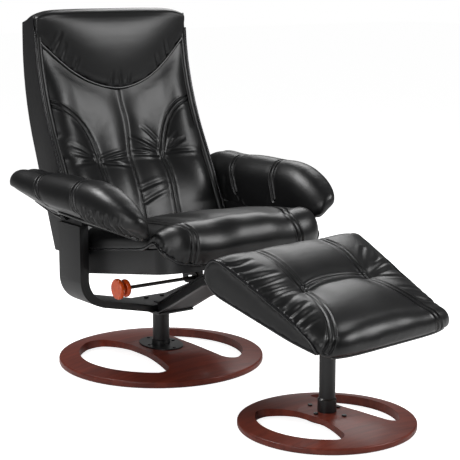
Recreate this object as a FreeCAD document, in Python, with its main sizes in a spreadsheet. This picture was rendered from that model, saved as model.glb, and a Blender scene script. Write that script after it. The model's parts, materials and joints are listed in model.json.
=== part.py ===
import FreeCAD, Part
import Sketcher
import math
import os

# Swivel recliner with a separate footstool, in millimetres.
# Origin: the chair's swivel axis on the floor. The chair faces -Y, +Z is up.

SIZES = {
    # Chair base: a domed disc of moulded plywood with two D-shaped openings.
    "base_radius": 305,
    "base_board": 18,
    "base_dome": 28,
    "base_land": 88,
    "base_opening": 245,
    "base_waist": 77,
    "base_corner": 103,
    "base_corner_round": 34,
    "rim_round": 5,
    # Floor rings under both discs.
    "ring_height": 2,
    "ring_width": 28,
    "ring_inset": 8,
    # Post, flange and swivel bearing.
    "post_radius": 25,
    "post_wall": 3,
    "post_height": 110,
    "collar_radius": 27.5,
    "collar_height": 12,
    "flange_long": 81,
    "flange_wide": 58,
    "flange_thick": 4,
    "flange_screw_long": 70,
    "flange_screw_wide": 43,
    "screw_radius": 2.5,
    "screw_length": 14,
    "screw_head": 5,
    "screw_head_height": 2.5,
    "spindle_radius": 16,
    "spindle_length": 88,
    "bush_length": 26,
    "bush_spacing": 54,
    "retainer_radius": 20,
    "retainer_thick": 4,
    "washer_thick": 3,
    "fit_gap": 0.05,
    "seat_gap": 0.3,
    # Hub and cradle band.
    "hub_thick": 5,
    "hub_half": 62,
    "hub_front": 82,
    "band_thick": 20,
    "band_width": 120,
    "band_shift": 6,
    "band_flat": 65,
    "band_slope": 12.5,
    "bend_radius": 72,
    "band_top": 540,
    "band_cover": 8,
    "band_cover_top": 446,
    "band_cover_sweep": 62,
    "hub_bolt_radius": 4,
    "hub_bolt_head": 7,
    "hub_bolt_head_height": 5,
    "hub_bolt_x": 28,
    "hub_bolt_y": 36,
    # Rails that carry the clamp rod.
    "rail_web": 44,
    "rail_metal": 3,
    "rail_flange": 17,
    "rail_height": 33,
    "rail_start": 56,
    "rail_bend": 78,
    "rail_end": 300,
    "rail_slope": 29,
    "rail_lug": 14,
    # Clamp rod, its nut and the turned knob.
    "rod_y": -245,
    "rod_z": 303,
    "rod_radius": 5,
    "rod_outer": 288,
    "rod_inner": 72,
    "nut_radius": 10,
    "nut_thick": 9,
    "knob_front_radius": 32,
    "knob_rear_radius": 28,
    "knob_neck_radius": 15,
    "knob_disc": 13,
    "knob_edge": 8,
    "knob_length": 36,
    # Seat, in a frame tilted about X with its front edge up.
    "seat_tilt": 9.3,
    "seat_low": 299,
    "seat_half": 262,
    "seat_rear": 19,
    "seat_front_setback": 5,
    "seat_box_height": 66,
    "seat_box_round": 80,
    "seat_cover_thick": 5,
    "seat_rail": 38,
    "seat_rail_low": 6,
    "seat_rail_high": 60,
    "seat_bridge_margin": 8,
    "seat_bridge_high": 24,
    "seat_nose_run": 65,
    "seat_nose_low": 14,
    "seat_nose_reach": 460,
    "seat_crown": 140,
    "seat_nose_swell": 35,
    "seat_shoulder": 75,
    "seat_edge_fall": 42,
    "seat_corner_fall": 66,
    "seat_corner_reach": 38,
    "seat_seam": 105,
    "seat_seam_draw": 8,
    "seat_travel": 36.6,
    "bracket_thick": 4,
    "bracket_flange": 26,
    "bracket_rear": 178,
    "bracket_front": 276,
    "bracket_drop": 16,
    "strap_thick": 2,
    "strap_width": 45,
    "dust_thick": 1.5,
    # Back, drawn from the side: the front welt line and the rear line.
    "back_side_room": 4,
    "back_low": 343,
    "back_bend": 650,
    "back_top": 1000,
    "back_front_low": -5,
    "back_front_bend": 160,
    "back_front_top": 259,
    "back_front_curve": 840,
    "back_rear_low": 158,
    "back_rear_bend": 276,
    "back_rear_top": 325,
    "back_rear_curve": 775,
    "back_top_fall": 20,
    "back_shell": 4,
    "back_rail_inset": 12,
    "back_rail_depth": 46,
    "back_rail_thick": 24,
    "back_cross_depth": 20,
    "back_cross_low": 420,
    "back_cross_mid_low": 620,
    "back_cross_mid_high": 680,
    "back_cross_top": 70,
    "back_seam": 103,
    "back_seam_draw": 13,
    "back_swell": 15,
    "back_tuft_height": 592,
    "back_cushion_foot": 372,
    "back_waist": 80,
    "headrest_start": 0.437,
    "headrest_rise": 0.94,
    "headrest_top": 36,
    "headrest_swell": 34,
    # Back pivot on the cradle band.
    "pivot_y": 50,
    "pivot_z": 385,
    "pivot_stud": 8,
    "pivot_stud_length": 34,
    "pivot_plate": 3.5,
    "pivot_plate_half": 16,
    "pivot_plate_height": 52,
    "pivot_bush_wall": 3,
    "pivot_hole_room": 2,
    # Arms.
    "arm_gap": 4,
    "arm_skin": 7,
    "arm_width": 126,
    "arm_rear": 205,
    "arm_front": 385,
    "arm_crest": 586,
    "arm_inner_low": 442,
    "arm_outer_low": 505,
    "arm_seam_draw": 5,
    "arm_seam_rear": 90,
    "arm_seam_front": 136,
    "arm_board_thick": 16,
    "arm_board_low": 490,
    "arm_board_high": 545,
    "arm_board_rear": 140,
    "arm_board_front": 280,
    "arm_bolt_radius": 4,
    "arm_bolt_head": 7,
    "arm_bolt_head_height": 4,
    "arm_bolt_z": 505,
    "arm_bolt_y": 36,
    # Footstool.
    "stool_y": -769,
    "stool_turn": 6.5,
    "stool_base_radius": 231,
    "stool_base_board": 16,
    "stool_base_dome": 22,
    "stool_base_land": 76,
    "stool_opening": 185,
    "stool_waist": 57,
    "stool_corner": 91,
    "stool_corner_round": 25,
    "stool_post_radius": 21,
    "stool_post_wall": 2.5,
    "stool_collar_radius": 24.5,
    "stool_collar_height": 33,
    "stool_plate_long": 72,
    "stool_plate_wide": 52,
    "stool_plate_thick": 4,
    "stool_bolt_long": 60,
    "stool_bolt_wide": 41,
    "stool_bolt_head": 6,
    "stool_bolt_head_height": 4,
    "stool_bolt_radius": 3,
    "stool_tilt": 16.5,
    "stool_seat_height": 316,
    "stool_half": 246,
    "stool_flare": 13,
    "stool_near": 203,
    "stool_far": 238,
    "stool_thick_near": 96,
    "stool_thick_far": 30,
    "stool_crown": 36,
    "stool_seam": 110,
    "stool_seam_draw": 9,
    "stool_board_half_x": 205,
    "stool_board_half_y": 160,
    "stool_board_thick": 12,
    "mount_plate_half": 75,
    "mount_plate_thick": 5,
    "mount_screw_spacing": 55,
}

doc = FreeCAD.newDocument("swivel_recliner")
dims = doc.addObject("Spreadsheet::Sheet", "dims")
for row, (alias, size) in enumerate(SIZES.items(), start=1):
    dims.set(f"A{row}", alias)
    dims.set(f"B{row}", str(size))
    dims.setAlias(f"B{row}", alias)
doc.recompute()

# Places that several pieces share, as expressions of the sheet.
LAND = "(dims.ring_height + dims.base_board + dims.base_dome)"
POST_TOP = f"({LAND} + dims.post_height)"
WASHER_TOP = f"({POST_TOP} + dims.washer_thick)"
HUB_LOW = f"({WASHER_TOP} + dims.fit_gap)"
BAND_LOW = f"({HUB_LOW} + dims.hub_thick)"
BAND_HIGH = f"({BAND_LOW} + dims.band_thick)"
BACK_HALF = "(dims.seat_half + dims.back_side_room)"
SEAT_FRONT = "(dims.seat_nose_reach - dims.seat_front_setback)"
NOSE_START = "(dims.seat_nose_reach - dims.seat_nose_run)"
ARM_INNER = f"({BACK_HALF} + dims.arm_gap)"
BAND_INNER = f"({ARM_INNER} + dims.arm_skin)"
BAND_OUTER = f"({BAND_INNER} + dims.band_thick)"
BEND_X = f"({BAND_INNER} - dims.bend_radius)"
BEND_OUTER = "(dims.bend_radius + dims.band_thick)"
BEND_Z = (
    f"({BAND_LOW} + tan(dims.band_slope) * ({BEND_X} - dims.band_flat)"
    f" + {BEND_OUTER} / cos(dims.band_slope))"
)
RAIL_REACH = "(dims.rail_end - dims.rail_bend) * tan(dims.rail_slope)"
RAIL_LOW = f"({BAND_LOW} + dims.seat_gap)"
# The clamp rod seen from the tilted seat.
ROD_SEAT_Y = (
    "(dims.rod_y * cos(dims.seat_tilt)"
    " - (dims.rod_z - dims.seat_low) * sin(dims.seat_tilt))"
)
ROD_SEAT_Z = (
    "(dims.rod_y * sin(dims.seat_tilt)"
    " + (dims.rod_z - dims.seat_low) * cos(dims.seat_tilt))"
)
NOSE_SLOPE = "((dims.seat_box_height - dims.seat_nose_low) / dims.seat_nose_run)"
STOOL_LAND = "(dims.ring_height + dims.stool_base_board + dims.stool_base_dome)"
STOOL_UNDER = "(dims.ring_height + dims.stool_base_dome)"

nodes = []


def value(expression):
    """Number that an expression of the sheet gives."""
    return float(dims.evalExpression(expression))


def keep(shape_object, label):
    """Name a finished sub-part and list it for writing."""
    shape_object.Label = label
    nodes.append(shape_object)
    return shape_object


def place(shape_object, expressions):
    """Bind placement properties of an object to the sheet."""
    for name, expression in expressions.items():
        shape_object.setExpression(f"Placement.{name}", expression)


def new_body(label):
    """Empty PartDesign body, listed as a sub-part."""
    return keep(doc.addObject("PartDesign::Body", label), label)


def new_sketch(body, role, lift=None):
    """Sketch on one of the body's origin planes, lifted along its normal."""
    sketch = body.newObject("Sketcher::SketchObject", f"{body.Label}_sketch")
    plane = [item for item in body.Origin.OriginFeatures if item.Role == role][0]
    sketch.AttachmentSupport = [(plane, "")]
    sketch.MapMode = "FlatFace"
    if lift:
        sketch.setExpression("AttachmentOffset.Base.z", lift)
    return sketch


def pin_point(sketch, geometry, end, corner):
    """Fix a sketch point at two expressions."""
    axes = (("DistanceX", -2), ("DistanceY", -1))
    for (kind, axis), expression in zip(axes, corner):
        if expression == "0":
            sketch.addConstraint(Sketcher.Constraint("PointOnObject", geometry, end, axis))
            continue
        rule = Sketcher.Constraint(kind, -1, 1, geometry, end, value(expression))
        index = sketch.addConstraint(rule)
        sketch.setExpression(f"Constraints[{index}]", expression)


def outline(sketch, corners):
    """Closed outline. A corner is (x, y), or (x, y, radius, side) where the edge that
    starts there is an arc, bulging to its left for side 1 and to its right for -1."""
    points = [FreeCAD.Vector(value(c[0]), value(c[1]), 0) for c in corners]
    first = sketch.GeometryCount
    ends = []
    count = len(corners)
    for index, corner in enumerate(corners):
        start = points[index]
        stop = points[(index + 1) % count]
        if len(corner) == 2:
            sketch.addGeometry(Part.LineSegment(start, stop))
            ends.append((1, 2))
            continue
        radius = value(corner[2])
        chord = stop - start
        left = FreeCAD.Vector(-chord.y, chord.x, 0).normalize()
        depth = math.sqrt(radius ** 2 - (chord.Length / 2) ** 2)
        centre = (start + stop) * 0.5 - left * depth * corner[3]
        spokes = (start - centre, stop - centre) if corner[3] < 0 else (stop - centre, start - centre)
        turn = [math.atan2(spoke.y, spoke.x) for spoke in spokes]
        circle = Part.Circle(centre, FreeCAD.Vector(0, 0, 1), radius)
        sketch.addGeometry(Part.ArcOfCircle(circle, turn[0], turn[1]))
        ends.append((1, 2) if corner[3] < 0 else (2, 1))
    for index, corner in enumerate(corners):
        after = (index + 1) % count
        rule = ("Coincident", first + index, ends[index][1], first + after, ends[after][0])
        sketch.addConstraint(Sketcher.Constraint(*rule))
    for index, corner in enumerate(corners):
        pin_point(sketch, first + index, ends[index][0], corner)
        if len(corner) == 4:
            rule = Sketcher.Constraint("Radius", first + index, value(corner[2]))
            radius_index = sketch.addConstraint(rule)
            sketch.setExpression(f"Constraints[{radius_index}]", corner[2])
    return sketch


def rectangle(sketch, low_x, low_y, high_x, high_y):
    """Closed rectangle between two corners."""
    return outline(sketch, [(low_x, low_y), (high_x, low_y), (high_x, high_y), (low_x, high_y)])


def circle(sketch, x, y, radius):
    """Full circle at an expression-bound place."""
    centre = FreeCAD.Vector(value(x), value(y), 0)
    index = sketch.addGeometry(Part.Circle(centre, FreeCAD.Vector(0, 0, 1), value(radius)))
    pin_point(sketch, index, 3, (x, y))
    rule = sketch.addConstraint(Sketcher.Constraint("Radius", index, value(radius)))
    sketch.setExpression(f"Constraints[{rule}]", radius)


def feature(body, kind, sketch, length=None, sides="One side", reverse=False):
    """Pad or pocket of a sketch. A pocket with no length goes right through."""
    item = body.newObject(f"PartDesign::{kind}", f"{body.Label}_{kind.lower()}")
    item.Profile = sketch
    item.SideType = sides
    item.Reversed = reverse
    if length:
        item.setExpression("Length", length)
    else:
        item.Type = "ThroughAll"
    body.Tip = item
    return item


def revolve(body, sketch, axis="V_Axis"):
    """Full turn of a sketch about one of its own axes."""
    item = body.newObject("PartDesign::Revolution", f"{body.Label}_turn")
    item.Profile = sketch
    item.ReferenceAxis = (sketch, [axis])
    item.Angle = 360
    body.Tip = item
    return item


def round_edges(body, base, wanted, radius):
    """Fillet the edges of the base feature that the test picks."""
    doc.recompute()
    names = [f"Edge{i}" for i, edge in enumerate(base.Shape.Edges, start=1) if wanted(edge)]
    item = body.newObject("PartDesign::Fillet", f"{body.Label}_fillet")
    item.Base = (base, names)
    item.setExpression("Radius", radius)
    body.Tip = item
    return item


def turned(label, corners):
    """Revolved piece about Z from an outline of radii and heights."""
    body = new_body(label)
    revolve(body, outline(new_sketch(body, "XZ_Plane"), corners))
    return body


def ring(label, inner, outer, low, high):
    """Plain turned ring."""
    return turned(label, [(inner, low), (outer, low), (outer, high), (inner, high)])


def is_upright(edge):
    """True for a straight edge along Z."""
    if edge.Curve.TypeId != "Part::GeomLine":
        return False
    return abs(edge.Curve.Direction.z) > 0.99


def group(label, shapes):
    """Several separate identical solids under one name."""
    item = doc.addObject("Part::Feature", label)
    item.Shape = Part.makeCompound(shapes)
    return keep(item, label)


def bolt(foot, direction, shank, length, head, head_height):
    """Plain bolt: the shank runs from the foot along the direction, the head the other way."""
    body = Part.makeCylinder(shank, length, foot, direction)
    cap = Part.makeCylinder(head, head_height, foot, direction * -1)
    return body.fuse(cap).removeSplitter()


def stand_stool(item):
    """Give a footstool piece its place and turn."""
    place(item, {"Base.y": "dims.stool_y", "Rotation.Angle": "dims.stool_turn"})
    return item


def base_disc(label, radius, board, dome, land, opening, waist, corner, corner_round):
    """Domed disc with a flat land in the middle, a flat rim under it and two openings."""
    rim_in = f"({radius} - 2 * dims.ring_inset - dims.ring_width)"
    top = f"(dims.ring_height + {board})"
    body = turned(label, [
        ("0", f"(dims.ring_height + {dome})"),
        (land, f"(dims.ring_height + {dome})", f"({rim_in}^2 + {dome}^2) / (2 * {dome})", 1),
        (rim_in, "dims.ring_height"),
        (radius, "dims.ring_height"),
        (radius, top, f"({radius}^2 + {dome}^2) / (2 * {dome})", -1),
        (land, f"({top} + {dome})"),
        ("0", f"({top} + {dome})"),
    ])
    round_edges(body, body.Tip, lambda edge: abs(edge.BoundBox.XMax - value(radius)) < 0.01
                and edge.BoundBox.ZLength < 0.01, "dims.rim_round")
    sketch = new_sketch(body, "XY_Plane")
    reach = f"sqrt({opening}^2 - {corner}^2)"
    inner = f"(({reach})^2 + ({corner} - {waist})^2) / (2 * ({corner} - {waist}))"
    for side in ("", "-"):
        bulge = 1 if side else -1
        outline(sketch, [
            (f"{side}{corner}", f"-({reach})", opening, bulge),
            (f"{side}{corner}", reach, inner, bulge),
        ])
    cut = feature(body, "Pocket", sketch, None, "Symmetric")
    round_edges(body, cut, is_upright, corner_round)
    return body


def oval_plate(label, long_half, wide_half, thick, low, bore, hole, holes):
    """Oval steel plate with a centre bore and screw holes."""
    oval = doc.addObject("Part::Ellipse", f"{label}_outline")
    oval.setExpression("MajorRadius", long_half)
    oval.setExpression("MinorRadius", wide_half)
    slab = doc.addObject("Part::Extrusion", f"{label}_slab")
    slab.Base = oval
    slab.Dir = FreeCAD.Vector(0, 0, 1)
    slab.DirMode = "Custom"
    slab.Solid = True
    slab.setExpression("LengthFwd", thick)
    drills = []
    for x, y, radius in [("0", "0", bore)] + [(x, y, hole) for x, y in holes]:
        drill = doc.addObject("Part::Cylinder", f"{label}_drill")
        drill.setExpression("Radius", radius)
        drill.setExpression("Height", thick)
        place(drill, {"Base.x": x, "Base.y": y})
        drills.append(drill)
    tools = doc.addObject("Part::MultiFuse", f"{label}_drills")
    tools.Shapes = drills
    plate = doc.addObject("Part::Cut", label)
    plate.Base = slab
    plate.Tool = tools
    place(plate, {"Base.z": low})
    return keep(plate, label)


def closed_wire(corners):
    """Wire through (point, via) pairs: a line to the next point, or an arc through via."""
    edges = []
    for index, (point, via) in enumerate(corners):
        stop = corners[(index + 1) % len(corners)][0]
        if via is None:
            edges.append(Part.makeLine(point, stop))
        else:
            edges.append(Part.Arc(point, via, stop).toShape())
    return Part.Wire(edges)


def padded_form(label, sections):
    """Soft closed solid lofted through its sections."""
    item = doc.addObject("Part::Feature", label)
    item.Shape = Part.makeLoft([closed_wire(section) for section in sections], True, False)
    return keep(item, label)


def slab_box(low, high):
    """Axis-parallel box between two corners."""
    size = high - low
    return Part.makeBox(size.x, size.y, size.z, low)


def vector(x, y, z):
    """Vector of three expressions."""
    return FreeCAD.Vector(value(x), value(y), value(z))


# Chair base
base = base_disc("chair_base_disc", "dims.base_radius", "dims.base_board", "dims.base_dome",
                 "dims.base_land", "dims.base_opening", "dims.base_waist", "dims.base_corner",
                 "dims.base_corner_round")
FLANGE_SCREWS = [("0", "dims.flange_screw_long"), ("0", "-dims.flange_screw_long"),
                 ("dims.flange_screw_wide", "0"), ("-dims.flange_screw_wide", "0")]
pilot = new_sketch(base, "XY_Plane", LAND)
for place_x, place_y in FLANGE_SCREWS:
    circle(pilot, place_x, place_y, "dims.screw_radius + dims.fit_gap")
feature(base, "Pocket", pilot, "dims.screw_length")

ring("chair_floor_ring", "dims.base_radius - dims.ring_inset - dims.ring_width",
     "dims.base_radius - dims.ring_inset", "0", "dims.ring_height")

flange = oval_plate("chair_post_flange", "dims.flange_long", "dims.flange_wide", "dims.flange_thick", LAND,
                    "dims.post_radius + dims.fit_gap", "dims.screw_radius + dims.fit_gap",
                    [(y, x) for x, y in FLANGE_SCREWS])
flange.Placement.Rotation = FreeCAD.Rotation(FreeCAD.Vector(0, 0, 1), 90)

FLANGE_TOP = f"({LAND} + dims.flange_thick)"
DOWN = FreeCAD.Vector(0, 0, -1)
group("chair_flange_screws", [
    bolt(vector(x, y, FLANGE_TOP), DOWN, value("dims.screw_radius"), value("dims.screw_length"),
         value("dims.screw_head"), value("dims.screw_head_height"))
    for x, y in FLANGE_SCREWS
])

POST_BORE = "(dims.post_radius - dims.post_wall)"
turned("chair_post", [
    (POST_BORE, LAND), ("dims.post_radius", LAND), ("dims.post_radius", f"{FLANGE_TOP} + dims.fit_gap"),
    ("dims.collar_radius", f"{FLANGE_TOP} + dims.fit_gap"),
    ("dims.collar_radius", f"{FLANGE_TOP} + dims.collar_height"),
    ("dims.post_radius", f"{FLANGE_TOP} + dims.collar_height + dims.collar_radius - dims.post_radius"),
    ("dims.post_radius", POST_TOP), (POST_BORE, POST_TOP),
])

# Swivel bearing: two bushes and a thrust washer stay with the post, the spindle turns in them.
bushes = []
for drop in ("0", "dims.bush_spacing"):
    top = value(f"{POST_TOP} - {drop}")
    outer = Part.makeCylinder(value(f"{POST_BORE} - dims.fit_gap"), value("dims.bush_length"),
                              FreeCAD.Vector(0, 0, top), DOWN)
    bore = Part.makeCylinder(value("dims.spindle_radius + dims.fit_gap"), value("dims.bush_length"),
                             FreeCAD.Vector(0, 0, top), DOWN)
    bushes.append(outer.cut(bore))
group("swivel_bushes", bushes)
ring("swivel_thrust_washer", "dims.spindle_radius + dims.seat_gap", "dims.post_radius", POST_TOP, WASHER_TOP)

SPINDLE_FOOT = f"({HUB_LOW} - dims.spindle_length)"
THREAD = "dims.hub_bolt_radius"
turned("swivel_spindle", [
    ("0", f"{SPINDLE_FOOT} + dims.screw_length + dims.fit_gap"),
    (f"{THREAD} + dims.fit_gap", f"{SPINDLE_FOOT} + dims.screw_length + dims.fit_gap"),
    (f"{THREAD} + dims.fit_gap", SPINDLE_FOOT), ("dims.spindle_radius", SPINDLE_FOOT),
    ("dims.spindle_radius", HUB_LOW), ("0", HUB_LOW),
])
turned("spindle_retainer", [
    ("0", f"{SPINDLE_FOOT} - dims.retainer_thick"),
    ("dims.retainer_radius", f"{SPINDLE_FOOT} - dims.retainer_thick"),
    ("dims.retainer_radius", SPINDLE_FOOT), (THREAD, SPINDLE_FOOT),
    (THREAD, f"{SPINDLE_FOOT} + dims.screw_length"), ("0", f"{SPINDLE_FOOT} + dims.screw_length"),
])

# Hub plate, cradle band and their bolts
HUB_BOLTS = [(side_x, side_y) for side_x in ("", "-") for side_y in ("", "-")]


def hub_holes(body, role_lift):
    """Four bolt holes right through a piece on the hub."""
    sketch = new_sketch(body, "XY_Plane", role_lift)
    for side_x, side_y in HUB_BOLTS:
        circle(sketch, f"{side_x}dims.hub_bolt_x", f"{side_y}dims.hub_bolt_y",
               "dims.hub_bolt_radius + dims.fit_gap")
    feature(body, "Pocket", sketch, None, "Symmetric")


BAND_REAR = "(dims.band_width / 2 + dims.band_shift)"
hub = new_body("hub_plate")
rectangle_sketch = rectangle(new_sketch(hub, "XY_Plane", HUB_LOW), "-dims.hub_half", "-dims.hub_front",
                             "dims.hub_half", BAND_REAR)
feature(hub, "Pad", rectangle_sketch, "dims.hub_thick")
hub_holes(hub, HUB_LOW)

band = new_body("cradle_band")
TOP_FLAT = f"(dims.band_flat - dims.band_thick * tan(dims.band_slope / 2))"
SIN = "sin(dims.band_slope)"
COS = "cos(dims.band_slope)"
half_outer = [
    ("dims.band_flat", BAND_LOW),
    (f"{BEND_X} + {BEND_OUTER} * {SIN}", f"{BEND_Z} - {BEND_OUTER} * {COS}", BEND_OUTER, -1),
    (BAND_OUTER, BEND_Z),
    (BAND_OUTER, "dims.band_top"),
]
half_inner = [
    (BAND_INNER, "dims.band_top"),
    (BAND_INNER, BEND_Z, "dims.bend_radius", 1),
    (f"{BEND_X} + dims.bend_radius * {SIN}", f"{BEND_Z} - dims.bend_radius * {COS}"),
    (TOP_FLAT, BAND_HIGH),
]


def mirror_half(half):
    """The same half outline on the other side of the middle, in reverse order."""
    flipped = []
    for index in range(len(half) - 1, -1, -1):
        x, y = half[index][:2]
        arc = half[index - 1][2:] if index > 0 and len(half[index - 1]) == 4 else ()
        flipped.append((f"-({x})", y) + tuple(arc))
    return flipped


band_outline = half_outer + half_inner + mirror_half(half_inner) + mirror_half(half_outer)
band_sketch = outline(new_sketch(band, "XZ_Plane", "-dims.band_shift"), band_outline)
feature(band, "Pad", band_sketch, "dims.band_width", "Symmetric")
hub_holes(band, BAND_LOW)
band_holes = new_sketch(band, "YZ_Plane")
ARM_BOLTS = [("dims.band_shift + dims.arm_bolt_y", "dims.arm_bolt_z"),
             ("dims.band_shift - dims.arm_bolt_y", "dims.arm_bolt_z")]
PIVOT_SCREW_RISE = "(dims.pivot_plate_height / 2 - 2 * dims.screw_radius - dims.screw_head / 2)"
PIVOT_SCREWS = [("dims.pivot_y", f"dims.pivot_z + {PIVOT_SCREW_RISE}"),
                ("dims.pivot_y", f"dims.pivot_z - {PIVOT_SCREW_RISE}")]
for place_y, place_z in ARM_BOLTS:
    circle(band_holes, place_y, place_z, "dims.arm_bolt_radius + dims.fit_gap")
for place_y, place_z in PIVOT_SCREWS:
    circle(band_holes, place_y, place_z, "dims.screw_radius + dims.fit_gap")
feature(band, "Pocket", band_holes, None, "Symmetric")

group("hub_bolts", [
    bolt(vector(f"{side_x}dims.hub_bolt_x", f"{side_y}dims.hub_bolt_y", BAND_HIGH), DOWN,
         value("dims.hub_bolt_radius"), value("dims.band_thick + dims.hub_thick"),
         value("dims.hub_bolt_head"), value("dims.hub_bolt_head_height"))
    for side_x, side_y in HUB_BOLTS
])

COVER_IN = f"({BEND_OUTER} + dims.seat_gap)"
COVER_OUT = f"({BEND_OUTER} + dims.band_cover)"
for name, side, bulge in (("left", "", 1), ("right", "-", -1)):
    cover = new_body(f"{name}_band_cover")
    sweep_cos = "cos(dims.band_cover_sweep)"
    sweep_sin = "sin(dims.band_cover_sweep)"
    cover_sketch = outline(new_sketch(cover, "XZ_Plane", "-dims.band_shift"), [
        (f"{side}({BEND_X} + {COVER_IN})", "dims.band_cover_top"),
        (f"{side}({BEND_X} + {COVER_IN})", BEND_Z, COVER_IN, bulge),
        (f"{side}({BEND_X} + {COVER_IN} * {sweep_cos})", f"{BEND_Z} - {COVER_IN} * {sweep_sin}"),
        (f"{side}({BEND_X} + {COVER_OUT} * {sweep_cos})", f"{BEND_Z} - {COVER_OUT} * {sweep_sin}",
         COVER_OUT, -bulge),
        (f"{side}({BEND_X} + {COVER_OUT})", BEND_Z),
        (f"{side}({BEND_X} + {COVER_OUT})", "dims.band_cover_top"),
    ])
    feature(cover, "Pad", cover_sketch, "dims.band_width", "Symmetric")

# Rails: two channels that open outwards, a sloping plate between them
RAIL_TOP_START = f"({RAIL_LOW} + dims.rail_height)"
for name, side in (("left", 1), ("right", -1)):
    rail = new_body(f"{name}_rail")
    web_lift = "dims.rail_web" if side > 0 else "-dims.rail_web - dims.rail_metal"
    flange_lift = "dims.rail_web" if side > 0 else "-dims.rail_web - dims.rail_flange"
    web = outline(new_sketch(rail, "YZ_Plane", web_lift), [
        ("-dims.rail_start", RAIL_LOW),
        ("-dims.rail_bend", RAIL_LOW),
        ("-dims.rail_end", f"{RAIL_LOW} + {RAIL_REACH}"),
        ("-dims.rail_end", f"{RAIL_TOP_START} + {RAIL_REACH}"),
        ("-dims.rail_bend", RAIL_TOP_START),
        ("-dims.rail_start", RAIL_TOP_START),
    ])
    feature(rail, "Pad", web, "dims.rail_metal")
    for low in (RAIL_LOW, f"({RAIL_TOP_START} - dims.rail_metal)"):
        lip = outline(new_sketch(rail, "YZ_Plane", flange_lift), [
            ("-dims.rail_start", low),
            ("-dims.rail_bend", low),
            ("-dims.rail_end", f"{low} + {RAIL_REACH}"),
            ("-dims.rail_end", f"{low} + {RAIL_REACH} + dims.rail_metal"),
            ("-dims.rail_bend", f"{low} + dims.rail_metal"),
            ("-dims.rail_start", f"{low} + dims.rail_metal"),
        ])
        feature(rail, "Pad", lip, "dims.rail_flange")
    lug = new_sketch(rail, "YZ_Plane", web_lift)
    circle(lug, "dims.rod_y", "dims.rod_z", "dims.rail_lug")
    feature(rail, "Pad", lug, "dims.rail_metal")
    bore = new_sketch(rail, "YZ_Plane", web_lift)
    circle(bore, "dims.rod_y", "dims.rod_z", "dims.rod_radius + dims.fit_gap")
    feature(rail, "Pocket", bore, None, "Symmetric")

cross_plate = new_body("rail_cross_plate")
PLATE_LOW = f"({RAIL_LOW} + dims.seat_gap)"
plate_sketch = outline(new_sketch(cross_plate, "YZ_Plane"), [
    ("-dims.rail_bend", PLATE_LOW),
    ("-dims.rail_end", f"{PLATE_LOW} + {RAIL_REACH}"),
    ("-dims.rail_end", f"{PLATE_LOW} + {RAIL_REACH} + dims.rail_metal"),
    ("-dims.rail_bend", f"{PLATE_LOW} + dims.rail_metal"),
])
feature(cross_plate, "Pad", plate_sketch, "2 * dims.rail_web", "Symmetric")

# Clamp rod, nut and knob, all along X
rod_axis = FreeCAD.Rotation(FreeCAD.Vector(0, 1, 0), 90)


def along_rod(item):
    """Lay a piece that is turned about Z along the clamp rod."""
    item.Placement.Rotation = rod_axis
    place(item, {"Base.y": "dims.rod_y", "Base.z": "dims.rod_z"})
    return item


along_rod(turned("knob_rod", [
    ("0", "-dims.rod_outer"), ("dims.rod_radius", "-dims.rod_outer"),
    ("dims.rod_radius", "dims.rod_inner"), ("0", "dims.rod_inner"),
]))
NUT_LOW = "(dims.rail_web + dims.rail_metal)"
nut = along_rod(new_body("clamp_nut"))
nut_sketch = new_sketch(nut, "XY_Plane", NUT_LOW)
hexagon = [(f"dims.nut_radius * cos({60 * k})", f"dims.nut_radius * sin({60 * k})") for k in range(6)]
hexagon[0] = ("dims.nut_radius", "0")
hexagon[3] = ("-dims.nut_radius", "0")
outline(nut_sketch, hexagon)
circle(nut_sketch, "0", "0", "dims.rod_radius + dims.fit_gap")
feature(nut, "Pad", nut_sketch, "dims.nut_thick")
KNOB_IN = "-(dims.rod_outer - dims.knob_length / 2)"
KNOB_OUT = f"({KNOB_IN} - dims.knob_length)"
along_rod(turned("tension_knob", [
    ("0", KNOB_OUT),
    ("dims.knob_front_radius - dims.knob_disc / 2", KNOB_OUT, "dims.knob_edge", -1),
    ("dims.knob_front_radius - dims.knob_disc / 2", f"{KNOB_OUT} + dims.knob_disc"),
    ("dims.knob_neck_radius", f"{KNOB_OUT} + dims.knob_disc"),
    ("dims.knob_neck_radius", f"{KNOB_IN} - dims.knob_disc"),
    ("dims.knob_rear_radius - dims.knob_disc / 2", f"{KNOB_IN} - dims.knob_disc", "dims.knob_edge", -1),
    ("dims.knob_rear_radius - dims.knob_disc / 2", KNOB_IN),
    ("dims.rod_radius + dims.fit_gap", KNOB_IN),
    ("dims.rod_radius + dims.fit_gap", "-dims.rod_outer - dims.fit_gap"),
    ("0", "-dims.rod_outer - dims.fit_gap"),
]))

# Seat, drawn flat and then tilted
seat_tilted = FreeCAD.Placement(
    vector("0", "0", "dims.seat_low"),
    FreeCAD.Rotation(FreeCAD.Vector(1, 0, 0), -value("dims.seat_tilt")),
)


def tilt_with_seat(item):
    """Set a piece that is drawn flat at the seat's tilt."""
    item.Placement = seat_tilted
    place(item, {"Base.z": "dims.seat_low", "Rotation.Angle": "-dims.seat_tilt"})
    return item


def seat_loop(sketch, inset, corner):
    """Seat outline from above with rounded front corners, drawn in by an inset."""
    half = f"(dims.seat_half - {inset})"
    rear = f"-(dims.seat_rear + {inset})"
    front = f"({SEAT_FRONT} - {inset})"
    return outline(sketch, [
        (half, rear), (f"-{half}", rear),
        (f"-{half}", f"-({front} - {corner})", corner, -1),
        (f"-({half} - {corner})", f"-{front}"),
        (f"{half} - {corner}", f"-{front}", corner, -1),
        (half, f"-({front} - {corner})"),
    ])


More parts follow.
